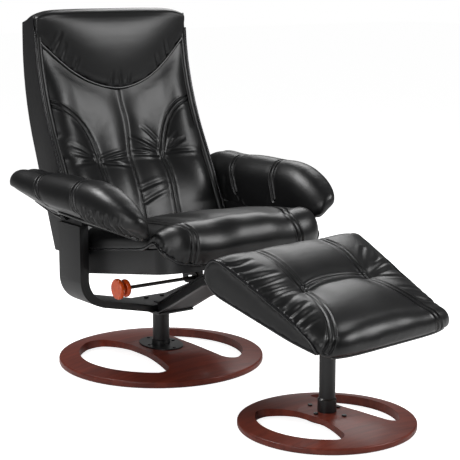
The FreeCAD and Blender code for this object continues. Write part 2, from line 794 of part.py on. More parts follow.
def cut_nose(body):
    """Cut away the front edge along the slope on which the cushion's nose rests."""
    start = f"-({NOSE_START} - dims.seat_gap)"
    reach = "-(dims.seat_nose_reach - dims.seat_gap)"
    past = "-(dims.seat_nose_reach + dims.seat_box_height)"
    above = "2 * dims.seat_box_height"
    sketch = outline(new_sketch(body, "YZ_Plane"), [
        (start, above), (start, "dims.seat_box_height"), (reach, "dims.seat_nose_low"),
        (past, "dims.seat_nose_low"), (past, above),
    ])
    return feature(body, "Pocket", sketch, None, "Symmetric")


FRAME_INSET = "(dims.seat_cover_thick + dims.seat_gap)"
BRIDGE_FRONT = "(dims.bracket_front + dims.seat_bridge_margin)"
BRIDGE_REAR = "(dims.bracket_rear - dims.seat_bridge_margin)"
FRAME_CORNER = f"(dims.seat_box_round - {FRAME_INSET})"
FRAME_HALF = f"(dims.seat_half - {FRAME_INSET})"
WINDOW_HALF = f"({FRAME_HALF} - dims.seat_rail)"
seat_frame = new_body("seat_frame")
frame_sketch = seat_loop(new_sketch(seat_frame, "XY_Plane", "dims.seat_rail_low"), FRAME_INSET, FRAME_CORNER)
rectangle(frame_sketch, f"-{WINDOW_HALF}", f"-{BRIDGE_REAR}", WINDOW_HALF,
          f"-(dims.seat_rear + {FRAME_INSET} + dims.seat_rail)")
rectangle(frame_sketch, f"-{WINDOW_HALF}", f"-({SEAT_FRONT} - dims.seat_rail * 2)", WINDOW_HALF,
          f"-{BRIDGE_FRONT}")
feature(seat_frame, "Pad", frame_sketch, "dims.seat_rail_high - dims.seat_rail_low")
dip = rectangle(new_sketch(seat_frame, "XY_Plane", "dims.seat_bridge_high"), f"-{WINDOW_HALF}",
                f"-{BRIDGE_FRONT}", WINDOW_HALF, f"-{BRIDGE_REAR}")
feature(seat_frame, "Pocket", dip, "dims.seat_rail_high - dims.seat_bridge_high", reverse=True)
cut_nose(seat_frame)

PLATE_OUT = "(dims.rail_web - dims.seat_gap)"
BRACKET_SCREW_X = f"({PLATE_OUT} - dims.bracket_thick - dims.bracket_flange / 2)"
BRACKET_SCREWS = [(f"{side}{BRACKET_SCREW_X}", f"-(dims.{end} {inward} 3 * dims.screw_head)")
                  for side in ("", "-") for end, inward in (("bracket_front", "-"), ("bracket_rear", "+"))]
frame_pilot = new_sketch(seat_frame, "XY_Plane", "dims.seat_rail_low")
for place_x, place_y in BRACKET_SCREWS:
    circle(frame_pilot, place_x, place_y, "dims.screw_radius + dims.fit_gap")
feature(seat_frame, "Pocket", frame_pilot, "dims.screw_length", reverse=True)
tilt_with_seat(seat_frame)

seat_cover = new_body("seat_cover")
cover_sketch = seat_loop(new_sketch(seat_cover, "XY_Plane"), "0", "dims.seat_box_round")
seat_loop(cover_sketch, "dims.seat_cover_thick", "(dims.seat_box_round - dims.seat_cover_thick)")
feature(seat_cover, "Pad", cover_sketch, "dims.seat_box_height")
cut_nose(seat_cover)
tilt_with_seat(seat_cover)

strap_half = value(f"{FRAME_HALF} - dims.seat_rail / 4")
strap_low = value("dims.seat_rail_high")
strap_span = value(f"{NOSE_START} - dims.seat_rear - dims.strap_width") * 0.92
STRAP_COUNT = 5
straps = []
for number in range(STRAP_COUNT):
    front = -value("dims.seat_rear + dims.strap_width + dims.seat_cover_thick * 2")
    front -= strap_span * number / STRAP_COUNT
    straps.append(slab_box(
        FreeCAD.Vector(-strap_half, front, strap_low),
        FreeCAD.Vector(strap_half, front + value("dims.strap_width"), strap_low + value("dims.strap_thick")),
    ))
tilt_with_seat(group("seat_webbing", straps))

dust_high = value("dims.seat_rail_low")
dust_low = dust_high - value("dims.dust_thick")
dust_half = value(f"{WINDOW_HALF} + dims.seat_rail / 2")
dust_panels = []
for rear, front in (("dims.seat_rear + dims.seat_rail / 2", f"{BRIDGE_REAR} - dims.seat_cover_thick"),
                    (f"{BRIDGE_FRONT} + dims.seat_cover_thick", f"{NOSE_START} - dims.seat_rail / 2")):
    dust_panels.append(slab_box(FreeCAD.Vector(-dust_half, -value(front), dust_low),
                                FreeCAD.Vector(dust_half, -value(rear), dust_high)))
tilt_with_seat(group("seat_dust_cover", dust_panels))


def seat_section(x, crown, nose, reach):
    """Cushion section from the rear foot over the crown to the nose and back along the frame."""
    seat_on = value("dims.seat_box_height + dims.seat_gap")
    nose_start = value(NOSE_START)
    nose_foot = seat_on - value(NOSE_SLOPE) * (reach - nose_start)
    shoulder = nose - value("dims.seat_shoulder")
    rear = -value("dims.seat_rear") + 3
    rear_top = rear + 22
    return [
        (FreeCAD.Vector(x, rear, seat_on), None),
        (FreeCAD.Vector(x, rear_top, crown - 10), FreeCAD.Vector(x, -shoulder / 2, crown)),
        (FreeCAD.Vector(x, -shoulder, crown - 9),
         FreeCAD.Vector(x, -nose, (crown + nose_foot) / 2 + 4)),
        (FreeCAD.Vector(x, -reach, nose_foot), None),
        (FreeCAD.Vector(x, -nose_start, seat_on), None),
    ]


crown = value("dims.seat_crown")
nose = value("dims.seat_nose_reach + dims.seat_nose_swell")
reach = value("dims.seat_nose_reach")
seam = value("dims.seat_seam")
draw = value("dims.seat_seam_draw")
seat_half = value("dims.seat_half")
edge = value("dims.seat_edge_fall")
corner = value("dims.seat_corner_fall")
pull = value("dims.seat_corner_reach")
half_sections = [
    (0, crown, nose, reach),
    (seam * 0.55, crown, nose, reach),
    (seam, crown - draw, nose - corner * 0.09, reach),
    ((seam + seat_half) / 2, crown - edge * 0.02, nose - corner * 0.15, reach - pull * 0.05),
    (seat_half * 0.92, crown - edge * 0.4, nose - corner * 0.58, reach - pull * 0.58),
    (seat_half, crown - edge, nose - corner, reach - pull),
]
both = [(-x, *rest) for x, *rest in reversed(half_sections[1:])] + half_sections
tilt_with_seat(padded_form("seat_cushion", [seat_section(*section) for section in both]))

for name, side in (("left", 1), ("right", -1)):
    bracket = new_body(f"{name}_seat_bracket")
    plate_lift = f"{PLATE_OUT} - dims.bracket_thick" if side > 0 else f"-{PLATE_OUT}"
    foot = f"({ROD_SEAT_Z} - dims.bracket_drop)"
    plate_sketch = outline(new_sketch(bracket, "YZ_Plane", plate_lift), [
        ("-dims.bracket_front", "dims.seat_rail_low"),
        ("-dims.bracket_front", f"{foot} + dims.bracket_drop", "dims.bracket_drop", -1),
        ("-(dims.bracket_front - dims.bracket_drop)", foot),
        ("-(dims.bracket_rear + dims.bracket_drop)", foot, "dims.bracket_drop", -1),
        ("-dims.bracket_rear", f"{foot} + dims.bracket_drop"),
        ("-dims.bracket_rear", "dims.seat_rail_low"),
    ])
    feature(bracket, "Pad", plate_sketch, "dims.bracket_thick")
    lip_sketch = new_sketch(bracket, "XY_Plane", "dims.seat_rail_low - dims.bracket_thick")
    lip_in = f"({PLATE_OUT} - dims.bracket_thick - dims.bracket_flange)"
    if side > 0:
        rectangle(lip_sketch, lip_in, "-dims.bracket_front", PLATE_OUT, "-dims.bracket_rear")
    else:
        rectangle(lip_sketch, f"-{PLATE_OUT}", "-dims.bracket_front", f"-{lip_in}", "-dims.bracket_rear")
    feature(bracket, "Pad", lip_sketch, "dims.bracket_thick")
    slot_radius = "(dims.rod_radius + dims.seat_gap)"
    slot_edge = "(dims.rod_radius + dims.seat_gap) * 1.0001"
    slot_rear = f"({ROD_SEAT_Y} + dims.seat_travel)"
    slot_front = f"({ROD_SEAT_Y} - {slot_radius})"
    slot_back = f"({slot_rear} + {slot_radius})"
    slot_sketch = outline(new_sketch(bracket, "YZ_Plane", plate_lift), [
        (slot_front, ROD_SEAT_Z, slot_edge, -1),
        (ROD_SEAT_Y, f"{ROD_SEAT_Z} - {slot_radius}"),
        (slot_rear, f"{ROD_SEAT_Z} - {slot_radius}", slot_edge, -1),
        (slot_back, ROD_SEAT_Z, slot_edge, -1),
        (slot_rear, f"{ROD_SEAT_Z} + {slot_radius}"),
        (ROD_SEAT_Y, f"{ROD_SEAT_Z} + {slot_radius}", slot_edge, -1),
    ])
    feature(bracket, "Pocket", slot_sketch, None, "Symmetric")
    lip_holes = new_sketch(bracket, "XY_Plane", "dims.seat_rail_low")
    for place_x, place_y in BRACKET_SCREWS[:2] if side > 0 else BRACKET_SCREWS[2:]:
        circle(lip_holes, place_x, place_y, "dims.screw_radius + dims.fit_gap")
    feature(bracket, "Pocket", lip_holes, None, "Symmetric")
    tilt_with_seat(bracket)

UP = FreeCAD.Vector(0, 0, 1)
tilt_with_seat(group("seat_bracket_screws", [
    bolt(vector(x, y, "dims.seat_rail_low - dims.bracket_thick"), UP, value("dims.screw_radius"),
         value("dims.screw_length"), value("dims.screw_head"), value("dims.screw_head_height"))
    for x, y in BRACKET_SCREWS
]))

# Back: an open shell of boxing and rear panel, a frame in it, cushion and headrest in front
BACK_SLOPE = "((dims.back_front_bend - dims.back_front_low) / (dims.back_bend - dims.back_low))"


def back_front(offset, low, high):
    """Front welt line moved back by an offset, from a low height to a high one."""
    return [
        (f"(dims.back_front_low + {offset} + {BACK_SLOPE} * ({low} - dims.back_low))", low),
        (f"(dims.back_front_bend + {offset})", "dims.back_bend", "dims.back_front_curve", -1),
        (f"(dims.back_front_top + {offset})", high),
    ]


def back_rear(inset, low, high):
    """Rear line drawn in by an inset, from a high height down to a low one."""
    return [
        (f"(dims.back_rear_top - {inset})", high, "dims.back_rear_curve", 1),
        (f"(dims.back_rear_bend - {inset})", "dims.back_bend"),
        (f"(dims.back_rear_low - {inset})", low),
    ]


back_cover = new_body("back_cover")
shell_sketch = outline(new_sketch(back_cover, "YZ_Plane"),
                       back_front("0", "dims.back_low", "dims.back_top")
                       + back_rear("0", "dims.back_low", "(dims.back_top - dims.back_top_fall)"))
feature(back_cover, "Pad", shell_sketch, f"2 * {BACK_HALF}", "Symmetric")
HOLLOW_LOW = "(dims.back_low + dims.back_shell)"
HOLLOW_HIGH = "(dims.back_top - dims.back_top_fall - dims.back_shell)"
hollow = outline(new_sketch(back_cover, "YZ_Plane"),
                 back_front(f"-{BACK_HALF} / 4", HOLLOW_LOW, HOLLOW_HIGH)
                 + back_rear("dims.back_shell", HOLLOW_LOW, f"({HOLLOW_HIGH} - dims.seat_gap)"))
feature(back_cover, "Pocket", hollow, f"2 * ({BACK_HALF} - dims.back_shell)", "Symmetric")
stud_hole = new_sketch(back_cover, "YZ_Plane")
circle(stud_hole, "dims.pivot_y", "dims.pivot_z", "dims.pivot_stud + dims.pivot_hole_room")
feature(back_cover, "Pocket", stud_hole, None, "Symmetric")

back_frame = new_body("back_frame")
FRAME_LOW = f"({HOLLOW_LOW} + dims.seat_gap)"
FRAME_HIGH = f"({HOLLOW_HIGH} - dims.seat_gap)"
RAIL_BACK = "(dims.back_rail_inset + dims.back_rail_depth)"
rail_front = back_front("dims.back_rail_inset", FRAME_LOW, FRAME_HIGH)
rail_rear = back_front(RAIL_BACK, FRAME_LOW, FRAME_HIGH)
rear_down = [rail_rear[2] + ("dims.back_front_curve", 1), rail_rear[1][:2], rail_rear[0]]
feature(back_frame, "Pad", outline(new_sketch(back_frame, "YZ_Plane"), rail_front + rear_down),
        f"2 * ({BACK_HALF} - dims.back_shell - dims.seat_gap)", "Symmetric")
BACK_INNER = f"({BACK_HALF} - dims.back_shell - dims.seat_gap - dims.back_rail_thick)"
CROSS_FRONT = f"({RAIL_BACK} - dims.back_cross_depth)"
room_front = back_front("-dims.back_rail_depth", HOLLOW_LOW, "dims.back_top")
room_rear = back_front(CROSS_FRONT, HOLLOW_LOW, "dims.back_top")
room_down = [room_rear[2] + ("dims.back_front_curve", 1), room_rear[1][:2], room_rear[0]]
feature(back_frame, "Pocket", outline(new_sketch(back_frame, "YZ_Plane"), room_front + room_down),
        f"2 * {BACK_INNER}", "Symmetric")
windows = new_sketch(back_frame, "XZ_Plane")
BACK_WINDOWS = (
    ("dims.back_cross_low", "dims.back_cross_mid_low"),
    ("dims.back_cross_mid_high", "(dims.back_top - dims.back_cross_top)"),
)
for low, high in BACK_WINDOWS:
    rectangle(windows, f"-{BACK_INNER}", low, BACK_INNER, high)
feature(back_frame, "Pocket", windows, None, "Symmetric")
BUSH_OUT = "(dims.pivot_stud + dims.fit_gap + dims.pivot_bush_wall)"
bush_hole = new_sketch(back_frame, "YZ_Plane")
circle(bush_hole, "dims.pivot_y", "dims.pivot_z", f"{BUSH_OUT} + dims.fit_gap")
feature(back_frame, "Pocket", bush_hole, None, "Symmetric")

pivot_bushes = []
for side in (1, -1):
    start = vector(BACK_INNER, "dims.pivot_y", "dims.pivot_z")
    start.x *= side
    along = FreeCAD.Vector(side, 0, 0)
    length = value("dims.back_rail_thick")
    tube = Part.makeCylinder(value(BUSH_OUT), length, start, along)
    bore = Part.makeCylinder(value("dims.pivot_stud + dims.fit_gap"), length, start, along)
    pivot_bushes.append(tube.cut(bore))
group("back_pivot_bushes", pivot_bushes)


def welt_y(z):
    """Front welt line: how far back it lies at a height."""
    bend_y, bend_z = value("dims.back_front_bend"), value("dims.back_bend")
    if z <= bend_z:
        return bend_y + value(BACK_SLOPE) * (z - bend_z)
    radius = value("dims.back_front_curve")
    start = FreeCAD.Vector(bend_y, bend_z, 0)
    stop = FreeCAD.Vector(value("dims.back_front_top"), value("dims.back_top"), 0)
    chord = stop - start
    left = FreeCAD.Vector(-chord.y, chord.x, 0).normalize()
    centre = (start + stop) * 0.5 + left * math.sqrt(radius ** 2 - (chord.Length / 2) ** 2)
    return centre.x + math.sqrt(radius ** 2 - (z - centre.y) ** 2)


back_straps = []
lean = math.degrees(math.atan(value(BACK_SLOPE)))
strap_wide = value(BACK_INNER) - value("dims.seat_gap")
for height in (0.3, 0.8):
    for low, high in BACK_WINDOWS:
        z = value(low) + value(f"{high} - {low}") * height - value("dims.strap_width") / 2
        y = welt_y(z) + value(f"{CROSS_FRONT} - 4 * dims.strap_thick")
        strap = slab_box(FreeCAD.Vector(-strap_wide, 0, 0),
                         FreeCAD.Vector(strap_wide, value("dims.strap_thick"), value("dims.strap_width")))
        turn = lean if z < value("dims.back_bend") else lean / 2
        strap.Placement = FreeCAD.Placement(FreeCAD.Vector(0, y, z),
                                            FreeCAD.Rotation(FreeCAD.Vector(1, 0, 0), -turn))
        back_straps.append(strap)
group("back_webbing", back_straps)


def headrest_edge(x):
    """Height of the headrest's pointed lower edge."""
    share = abs(x) / value(BACK_HALF)
    point = value("dims.back_bend + dims.headrest_start * (dims.back_top - dims.back_bend)")
    return point + value("dims.headrest_rise") * (value(HOLLOW_HIGH) - point) * share ** 2


def back_section(x, swell, tuft, depth):
    """Back cushion section: lumbar swell, tuft line, upper swell, and the side on the frame."""
    foot = value("dims.back_cushion_foot")
    waist = foot + value("dims.back_waist")
    tuft_z = value("dims.back_tuft_height")
    bend = value("dims.back_bend")
    top = headrest_edge(x) - 1
    upper = (tuft_z + top) / 2
    lower = (waist + tuft_z) / 2
    behind = (bend + top) / 2
    points = [
        ((welt_y(foot) + depth - 6, foot), None),
        ((welt_y(waist) + 2, waist), (welt_y(lower) - swell, lower)),
        ((welt_y(tuft_z) - swell + tuft, tuft_z), (welt_y(upper) - swell, upper)),
        ((welt_y(top) - 2, top), None),
        ((welt_y(top) + depth, top), (welt_y(behind) + depth, behind)),
        ((welt_y(bend) + depth, bend), None),
        ((welt_y(foot) + depth, foot), None),
    ]
    return [(FreeCAD.Vector(x, *p), via and FreeCAD.Vector(x, *via)) for p, via in points]


swell = value("dims.back_swell")
tuft = value("dims.back_seam_draw")
seam = value("dims.back_seam")
inner = value(BACK_INNER)
rim = value(f"{BACK_HALF} - dims.back_shell - 2 * dims.seat_gap")
deep = value(f"{CROSS_FRONT} - 8 * dims.strap_thick")
flat = value("dims.back_rail_inset") - 1.5
half_sections = [
    (0, -swell * 0.15, tuft * 0.6, deep),
    (seam * 0.5, swell * 0.5, tuft * 0.8, deep),
    (seam, swell * 0.1, tuft, deep),
    ((seam + inner) / 2, swell, tuft * 0.4, deep * 0.8),
    (inner - 6, swell * 0.7, tuft * 0.2, flat),
    (rim, swell * 0.1, 0, flat),
]
both = [(-x, *rest) for x, *rest in reversed(half_sections[1:])] + half_sections
padded_form("back_cushion", [back_section(*section) for section in both])


def headrest_section(x, swell, top):
    """Headrest section: swollen face, rounded top and the side on the back's rim."""
    low = headrest_edge(x) + 1
    clear = value("dims.seat_gap")
    rim_y, rim_z = value("dims.back_front_top"), value("dims.back_top")
    rear_y = value("dims.back_rear_top") - 2
    fall = value("dims.back_top_fall / (dims.back_rear_top - dims.back_front_top)")
    rear_z = rim_z - fall * (rear_y - rim_y) + clear
    middle = (low + top) / 2
    behind = (low + rim_z) / 2
    points = [
        ((welt_y(low) - 3, low), (welt_y(middle) - swell, middle)),
        ((rim_y - 14, top - 6), ((rim_y + rear_y) / 2 - 12, top)),
        ((rear_y, top - 24), None),
        ((rear_y, rear_z), None),
        ((rim_y - clear, rim_z + clear), (welt_y(behind) - clear, behind)),
        ((welt_y(low) - clear, low), None),
    ]
    return [(FreeCAD.Vector(x, *p), via and FreeCAD.Vector(x, *via)) for p, via in points]


puff = value("dims.headrest_swell")
high = value("dims.back_top + dims.headrest_top")
half_sections = [
    (0, puff, high),
    (seam * 0.5, puff * 0.98, high),
    (seam, puff * 0.93, high),
    ((seam + inner) / 2, puff * 0.75, high - 1),
    (inner - 6, puff * 0.45, high - 7),
    (rim, puff * 0.2, high - 22),
]
both = [(-x, *rest) for x, *rest in reversed(half_sections[1:])] + half_sections
padded_form("headrest_pillow", [headrest_section(*section) for section in both])

# Pivot studs on the cradle band carry the back
studs = []
for side in (1, -1):
    plate_in = value(f"{BAND_INNER} - dims.pivot_plate")
    plate_half = value("dims.pivot_plate_half")
    rise = value("dims.pivot_plate_height") / 2
    centre = vector("0", "dims.pivot_y", "dims.pivot_z")
    plate = slab_box(centre + FreeCAD.Vector(plate_in, -plate_half, -rise),
                     centre + FreeCAD.Vector(value(BAND_INNER), plate_half, rise))
    stud = Part.makeCylinder(value("dims.pivot_stud"), value("dims.pivot_stud_length"),
                             centre + FreeCAD.Vector(plate_in, 0, 0), FreeCAD.Vector(-1, 0, 0))
    piece = plate.fuse(stud)
    for y, z in PIVOT_SCREWS:
        drill = vector(f"{BAND_INNER} - dims.pivot_plate", y, z)
        piece = piece.cut(Part.makeCylinder(value("dims.screw_radius + dims.fit_gap"),
                                            value("dims.pivot_plate"), drill, FreeCAD.Vector(1, 0, 0)))
    if side < 0:
        piece = piece.mirror(FreeCAD.Vector(0, 0, 0), FreeCAD.Vector(1, 0, 0))
    studs.append(piece)
group("back_pivot_studs", studs)

pivot_screws = []
for side in (1, -1):
    for y, z in PIVOT_SCREWS:
        foot = vector(f"{BAND_INNER} - dims.pivot_plate", y, z)
        foot.x *= side
        pivot_screws.append(bolt(foot, FreeCAD.Vector(side, 0, 0), value("dims.screw_radius"),
                                 value("dims.screw_length"), value("dims.screw_head"),
                                 value("dims.screw_head_height / 2")))
group("pivot_screws", pivot_screws)

# Arms: a board bolted to each upright, inside a pad
BOARD_IN = BAND_OUTER
BOARD_OUT = f"({BOARD_IN} + dims.arm_board_thick)"
for name, side in (("left", ""), ("right", "-")):
    board = new_body(f"{name}_arm_board")
    lift = BOARD_IN if side == "" else f"-{BOARD_OUT}"
    board_sketch = outline(new_sketch(board, "YZ_Plane", lift), [
        ("-dims.arm_board_front", "dims.arm_board_low"),
        ("dims.arm_board_rear", "dims.arm_board_low"),
        ("dims.arm_board_rear", "dims.arm_board_high"),
        ("-dims.arm_seam_front", "dims.arm_board_high"),
        ("-dims.arm_board_front", "(dims.arm_board_low + dims.arm_board_high) / 2"),
    ])
    for y, z in ARM_BOLTS:
        circle(board_sketch, y, z, "dims.arm_bolt_radius + dims.fit_gap")
    feature(board, "Pad", board_sketch, "dims.arm_board_thick")

arm_bolts = []
for side in (1, -1):
    for y, z in ARM_BOLTS:
        foot = vector(BOARD_OUT, y, z)
        foot.x *= side
        arm_bolts.append(bolt(foot, FreeCAD.Vector(-side, 0, 0), value("dims.arm_bolt_radius"),
                              value("dims.arm_board_thick + dims.band_thick - 2 * dims.seat_gap"),
                              value("dims.arm_bolt_head"), value("dims.arm_bolt_head_height")))
group("arm_bolts", arm_bolts)


def arm_section(y, inner_low, outer_low, crest, shrink, taper):
    """Arm section: slanted foot, round outer roll, broad top and a straight inner face."""
    inner = value(ARM_INNER) + shrink
    outer = value(f"{ARM_INNER} + dims.arm_width") - shrink - taper
    ridge = inner + (outer - inner) * 0.62
    roll = (crest - outer_low) / 2
    bend = roll * math.sin(math.radians(45))
    outer_mid = FreeCAD.Vector(outer, y, crest - roll)
    shoulder = inner_low + (crest - inner_low) * 0.55
    inner_via = FreeCAD.Vector(inner + (ridge - inner) * 0.22, y, shoulder + (crest - shoulder) * 0.72)
    foot = FreeCAD.Vector(outer - (outer - ridge) * 0.32, y, outer_low)
    top = FreeCAD.Vector(ridge, y, crest)
    return [
        (FreeCAD.Vector(inner + 2, y, inner_low), None),
        (foot, outer_mid + FreeCAD.Vector(0, 0, bend * 0.1)),
        (top, inner_via),
        (FreeCAD.Vector(inner, y, shoulder), None),
    ]


crest = value("dims.arm_crest")
inner_low = value("dims.arm_inner_low")
outer_low = value("dims.arm_outer_low")
pinch = value("dims.arm_seam_draw")
rear = value("dims.arm_rear")
front = -value("dims.arm_front")
seam_rear = value("dims.arm_seam_rear")
seam_front = -value("dims.arm_seam_front")
tall = crest - inner_low
arm_sections = [
    (rear, inner_low + tall * 0.47, outer_low + tall * 0.18, crest - tall * 0.24, tall * 0.15, 0),
    (rear - tall * 0.2, inner_low + tall * 0.2, outer_low + tall * 0.17, crest - tall * 0.07, tall * 0.04, 0),
    (seam_rear, inner_low + tall * 0.04, outer_low + tall * 0.1, crest - pinch, tall * 0.014, 0),
    ((seam_rear + seam_front) / 2, inner_low + tall * 0.014, outer_low, crest + tall * 0.014, 0, 0),
    (seam_front, inner_low, outer_low - tall * 0.06, crest - pinch * 1.6, tall * 0.014, 0),
    ((seam_front + front) / 2, inner_low, outer_low - tall * 0.14, crest - tall * 0.194, 0, tall * 0.056),
    (front + tall * 0.29, inner_low, outer_low - tall * 0.21, crest - tall * 0.52, tall * 0.02, tall * 0.194),
    (front, inner_low + tall * 0.08, outer_low - tall * 0.24, crest - tall * 0.71, tall * 0.1, tall * 0.33),
]
clear = value("dims.seat_gap")
for name, side in (("left", 1), ("right", -1)):
    pad = Part.makeLoft([closed_wire(arm_section(*section)) for section in arm_sections], True, False)
    pad = pad.cut(slab_box(
        vector(BAND_INNER, "dims.band_shift - dims.band_width / 2", "0") - FreeCAD.Vector(clear, clear, 0),
        vector(BAND_OUTER, "dims.band_shift + dims.band_width / 2", "dims.band_top")
        + FreeCAD.Vector(clear, clear, clear)))
    pad = pad.cut(slab_box(
        vector(BOARD_IN, "-dims.arm_board_front", "0") - FreeCAD.Vector(clear, clear, 0),
        vector(f"{BOARD_OUT} + dims.arm_bolt_head_height", "dims.arm_board_rear", "dims.arm_board_high")
        + FreeCAD.Vector(clear, clear, clear)))
    if side < 0:
        pad = pad.mirror(FreeCAD.Vector(0, 0, 0), FreeCAD.Vector(1, 0, 0))
    arm_pad = doc.addObject("Part::Feature", f"{name}_arm_pad")
    arm_pad.Shape = pad
    keep(arm_pad, f"{name}_arm_pad")

# Footstool base and post
STOOL_BOLTS = [("0", "dims.stool_bolt_long"), ("0", "-dims.stool_bolt_long"),
               ("dims.stool_bolt_wide", "0"), ("-dims.stool_bolt_wide", "0")]
stool_base = base_disc("footstool_base_disc", "dims.stool_base_radius", "dims.stool_base_board",
                       "dims.stool_base_dome", "dims.stool_base_land", "dims.stool_opening",
                       "dims.stool_waist", "dims.stool_corner", "dims.stool_corner_round")
stool_holes = new_sketch(stool_base, "XY_Plane", STOOL_LAND)
circle(stool_holes, "0", "0", "dims.stool_post_radius + dims.fit_gap")
for place_x, place_y in STOOL_BOLTS:
    circle(stool_holes, place_x, place_y, "dims.stool_bolt_radius + dims.fit_gap")
feature(stool_base, "Pocket", stool_holes, None, "Symmetric")
stand_stool(stool_base)
stand_stool(ring("footstool_floor_ring", "dims.stool_base_radius - dims.ring_inset - dims.ring_width",
                 "dims.stool_base_radius - dims.ring_inset", "0", "dims.ring_height"))
stool_plate = oval_plate("footstool_base_plate", "dims.stool_plate_long", "dims.stool_plate_wide",
                         "dims.stool_plate_thick", f"{STOOL_UNDER} - dims.stool_plate_thick",
                         "dims.stool_post_radius - 2 * dims.stool_post_wall",
                         "dims.stool_bolt_radius + dims.fit_gap", [(y, x) for x, y in STOOL_BOLTS])
stool_plate.Placement.Rotation = FreeCAD.Rotation(FreeCAD.Vector(0, 0, 1), 90)
place(stool_plate, {"Base.y": "dims.stool_y", "Rotation.Angle": "90 + dims.stool_turn"})

stool_bolts = group("footstool_base_bolts", [
    bolt(vector(x, y, STOOL_LAND), DOWN, value("dims.stool_bolt_radius"),
         value("dims.stool_base_board + dims.stool_plate_thick"), value("dims.stool_bolt_head"),
         value("dims.stool_bolt_head_height"))
    for x, y in STOOL_BOLTS
])
stand_stool(stool_bolts)

TILT_TAN = "tan(dims.stool_tilt)"
POST_CUT = "(dims.stool_seat_height - dims.mount_plate_thick / cos(dims.stool_tilt))"
STOOL_BORE = "(dims.stool_post_radius - dims.stool_post_wall)"
stool_post = turned("footstool_post", [
    (STOOL_BORE, STOOL_UNDER), ("dims.stool_post_radius", STOOL_UNDER),
    ("dims.stool_post_radius", f"{STOOL_LAND} + dims.fit_gap"),
    ("dims.stool_collar_radius", f"{STOOL_LAND} + dims.fit_gap"),
    ("dims.stool_collar_radius", f"{STOOL_LAND} + dims.stool_collar_height"),
    ("dims.stool_post_radius", f"{STOOL_LAND} + dims.stool_collar_height + dims.stool_collar_radius"
     " - dims.stool_post_radius"),
    ("dims.stool_post_radius", "dims.stool_seat_height + dims.stool_post_radius"),
    (STOOL_BORE, "dims.stool_seat_height + dims.stool_post_radius"),
])
reach_y = "2 * dims.stool_post_radius"
slant = outline(new_sketch(stool_post, "YZ_Plane"), [
    (f"-{reach_y}", f"{POST_CUT} - {TILT_TAN} * {reach_y}"),
    (reach_y, f"{POST_CUT} + {TILT_TAN} * {reach_y}"),
    (reach_y, "2 * dims.stool_seat_height"), (f"-{reach_y}", "2 * dims.stool_seat_height"),
])
feature(stool_post, "Pocket", slant, None, "Symmetric")
stand_stool(stool_post)

# Footstool seat, drawn flat, tilted and turned with the stool
stool_tilted = FreeCAD.Placement(
    vector("0", "dims.stool_y", "dims.stool_seat_height"),
    FreeCAD.Rotation(FreeCAD.Vector(0, 0, 1), value("dims.stool_turn"))
    * FreeCAD.Rotation(FreeCAD.Vector(1, 0, 0), value("dims.stool_tilt")),
)
MOUNT_SCREWS = [(f"{side_x}dims.mount_screw_spacing", f"{side_y}dims.mount_screw_spacing")
                for side_x in ("", "-") for side_y in ("", "-")]
for label, half_x, half_y, low, thick in (
        ("footstool_mount_plate", "dims.mount_plate_half", "dims.mount_plate_half",
         "-dims.mount_plate_thick", "dims.mount_plate_thick"),
        ("footstool_board", "dims.stool_board_half_x", "dims.stool_board_half_y",
         "0", "dims.stool_board_thick")):
    board = new_body(label)
    board_sketch = new_sketch(board, "XY_Plane", None if low == "0" else low)
    rectangle(board_sketch, f"-{half_x}", f"-{half_y}", half_x, half_y)
    for place_x, place_y in MOUNT_SCREWS:
        circle(board_sketch, place_x, place_y, "dims.screw_radius + dims.fit_gap")
    feature(board, "Pad", board_sketch, thick)
    board.Placement = stool_tilted

mount_screws = group("footstool_plate_screws", [
    bolt(vector(x, y, "-dims.mount_plate_thick"), UP, value("dims.screw_radius"),
         value("dims.screw_length"), value("dims.screw_head"), value("dims.screw_head_height"))
    for x, y in MOUNT_SCREWS
])
mount_screws.Placement = stool_tilted


def stool_section(x, near_lift, low_lift, dip, far):
    """Footstool section: flat foot, round end towards the chair, two swells and a rounded low nose."""
    near = value("dims.stool_near")
    thick = value("dims.stool_thick_near")
    thin = value("dims.stool_thick_far") + low_lift
    crest = near - thick * 0.5
    tail = far - thin * 0.85
    middle = (crest - tail) / 2
    ridge = (thick + near_lift + thin) / 2
    points = [
        ((-(far - thin * 0.4), 0), None),
        ((near - thick * 0.36, 0), (near, thick * 0.44)),
        ((crest, thick + near_lift), ((crest + middle) / 2, (thick + near_lift + ridge) / 2 + dip * 0.4 + 2)),
        ((middle, ridge - dip), ((middle - tail) / 2, (ridge + thin) / 2 + dip * 0.4 + 2)),
        ((-tail, thin), (-far, thin * 0.45)),
    ]
    flare = value("dims.stool_flare / (dims.stool_half * dims.stool_near)")
    return [(FreeCAD.Vector(x * (1 + flare * p[0]), *p),
             via and FreeCAD.Vector(x * (1 + flare * via[0]), *via)) for p, via in points]


lift = value("dims.stool_crown")
dip = value("dims.stool_seam_draw")
seam = value("dims.stool_seam")
half = value("dims.stool_half")
far = value("dims.stool_far")
half_sections = [
    (0, 4, lift, dip, far),
    (seam * 0.6, 4, lift, dip, far),
    (seam, 1, lift - dip * 0.5, dip * 1.4, far - 1),
    ((seam + half) / 2, 3, lift * 0.9, dip * 0.6, far - 3),
    (half * 0.91, 0, lift * 0.5, dip * 0.2, far - 16),
    (half, -3, lift * 0.06, 0, far - 38),
]
both = [(-x, *rest) for x, *rest in reversed(half_sections[1:])] + half_sections
stool_cushion = padded_form("footstool_cushion", [stool_section(*section) for section in both])
pocket = slab_box(
    vector("-dims.stool_board_half_x", "-dims.stool_board_half_y", "0") - FreeCAD.Vector(clear, clear, 1),
    vector("dims.stool_board_half_x", "dims.stool_board_half_y", "dims.stool_board_thick")
    + FreeCAD.Vector(clear, clear, clear))
stool_cushion.Shape = stool_cushion.Shape.cut(pocket)
stool_cushion.Placement = stool_tilted

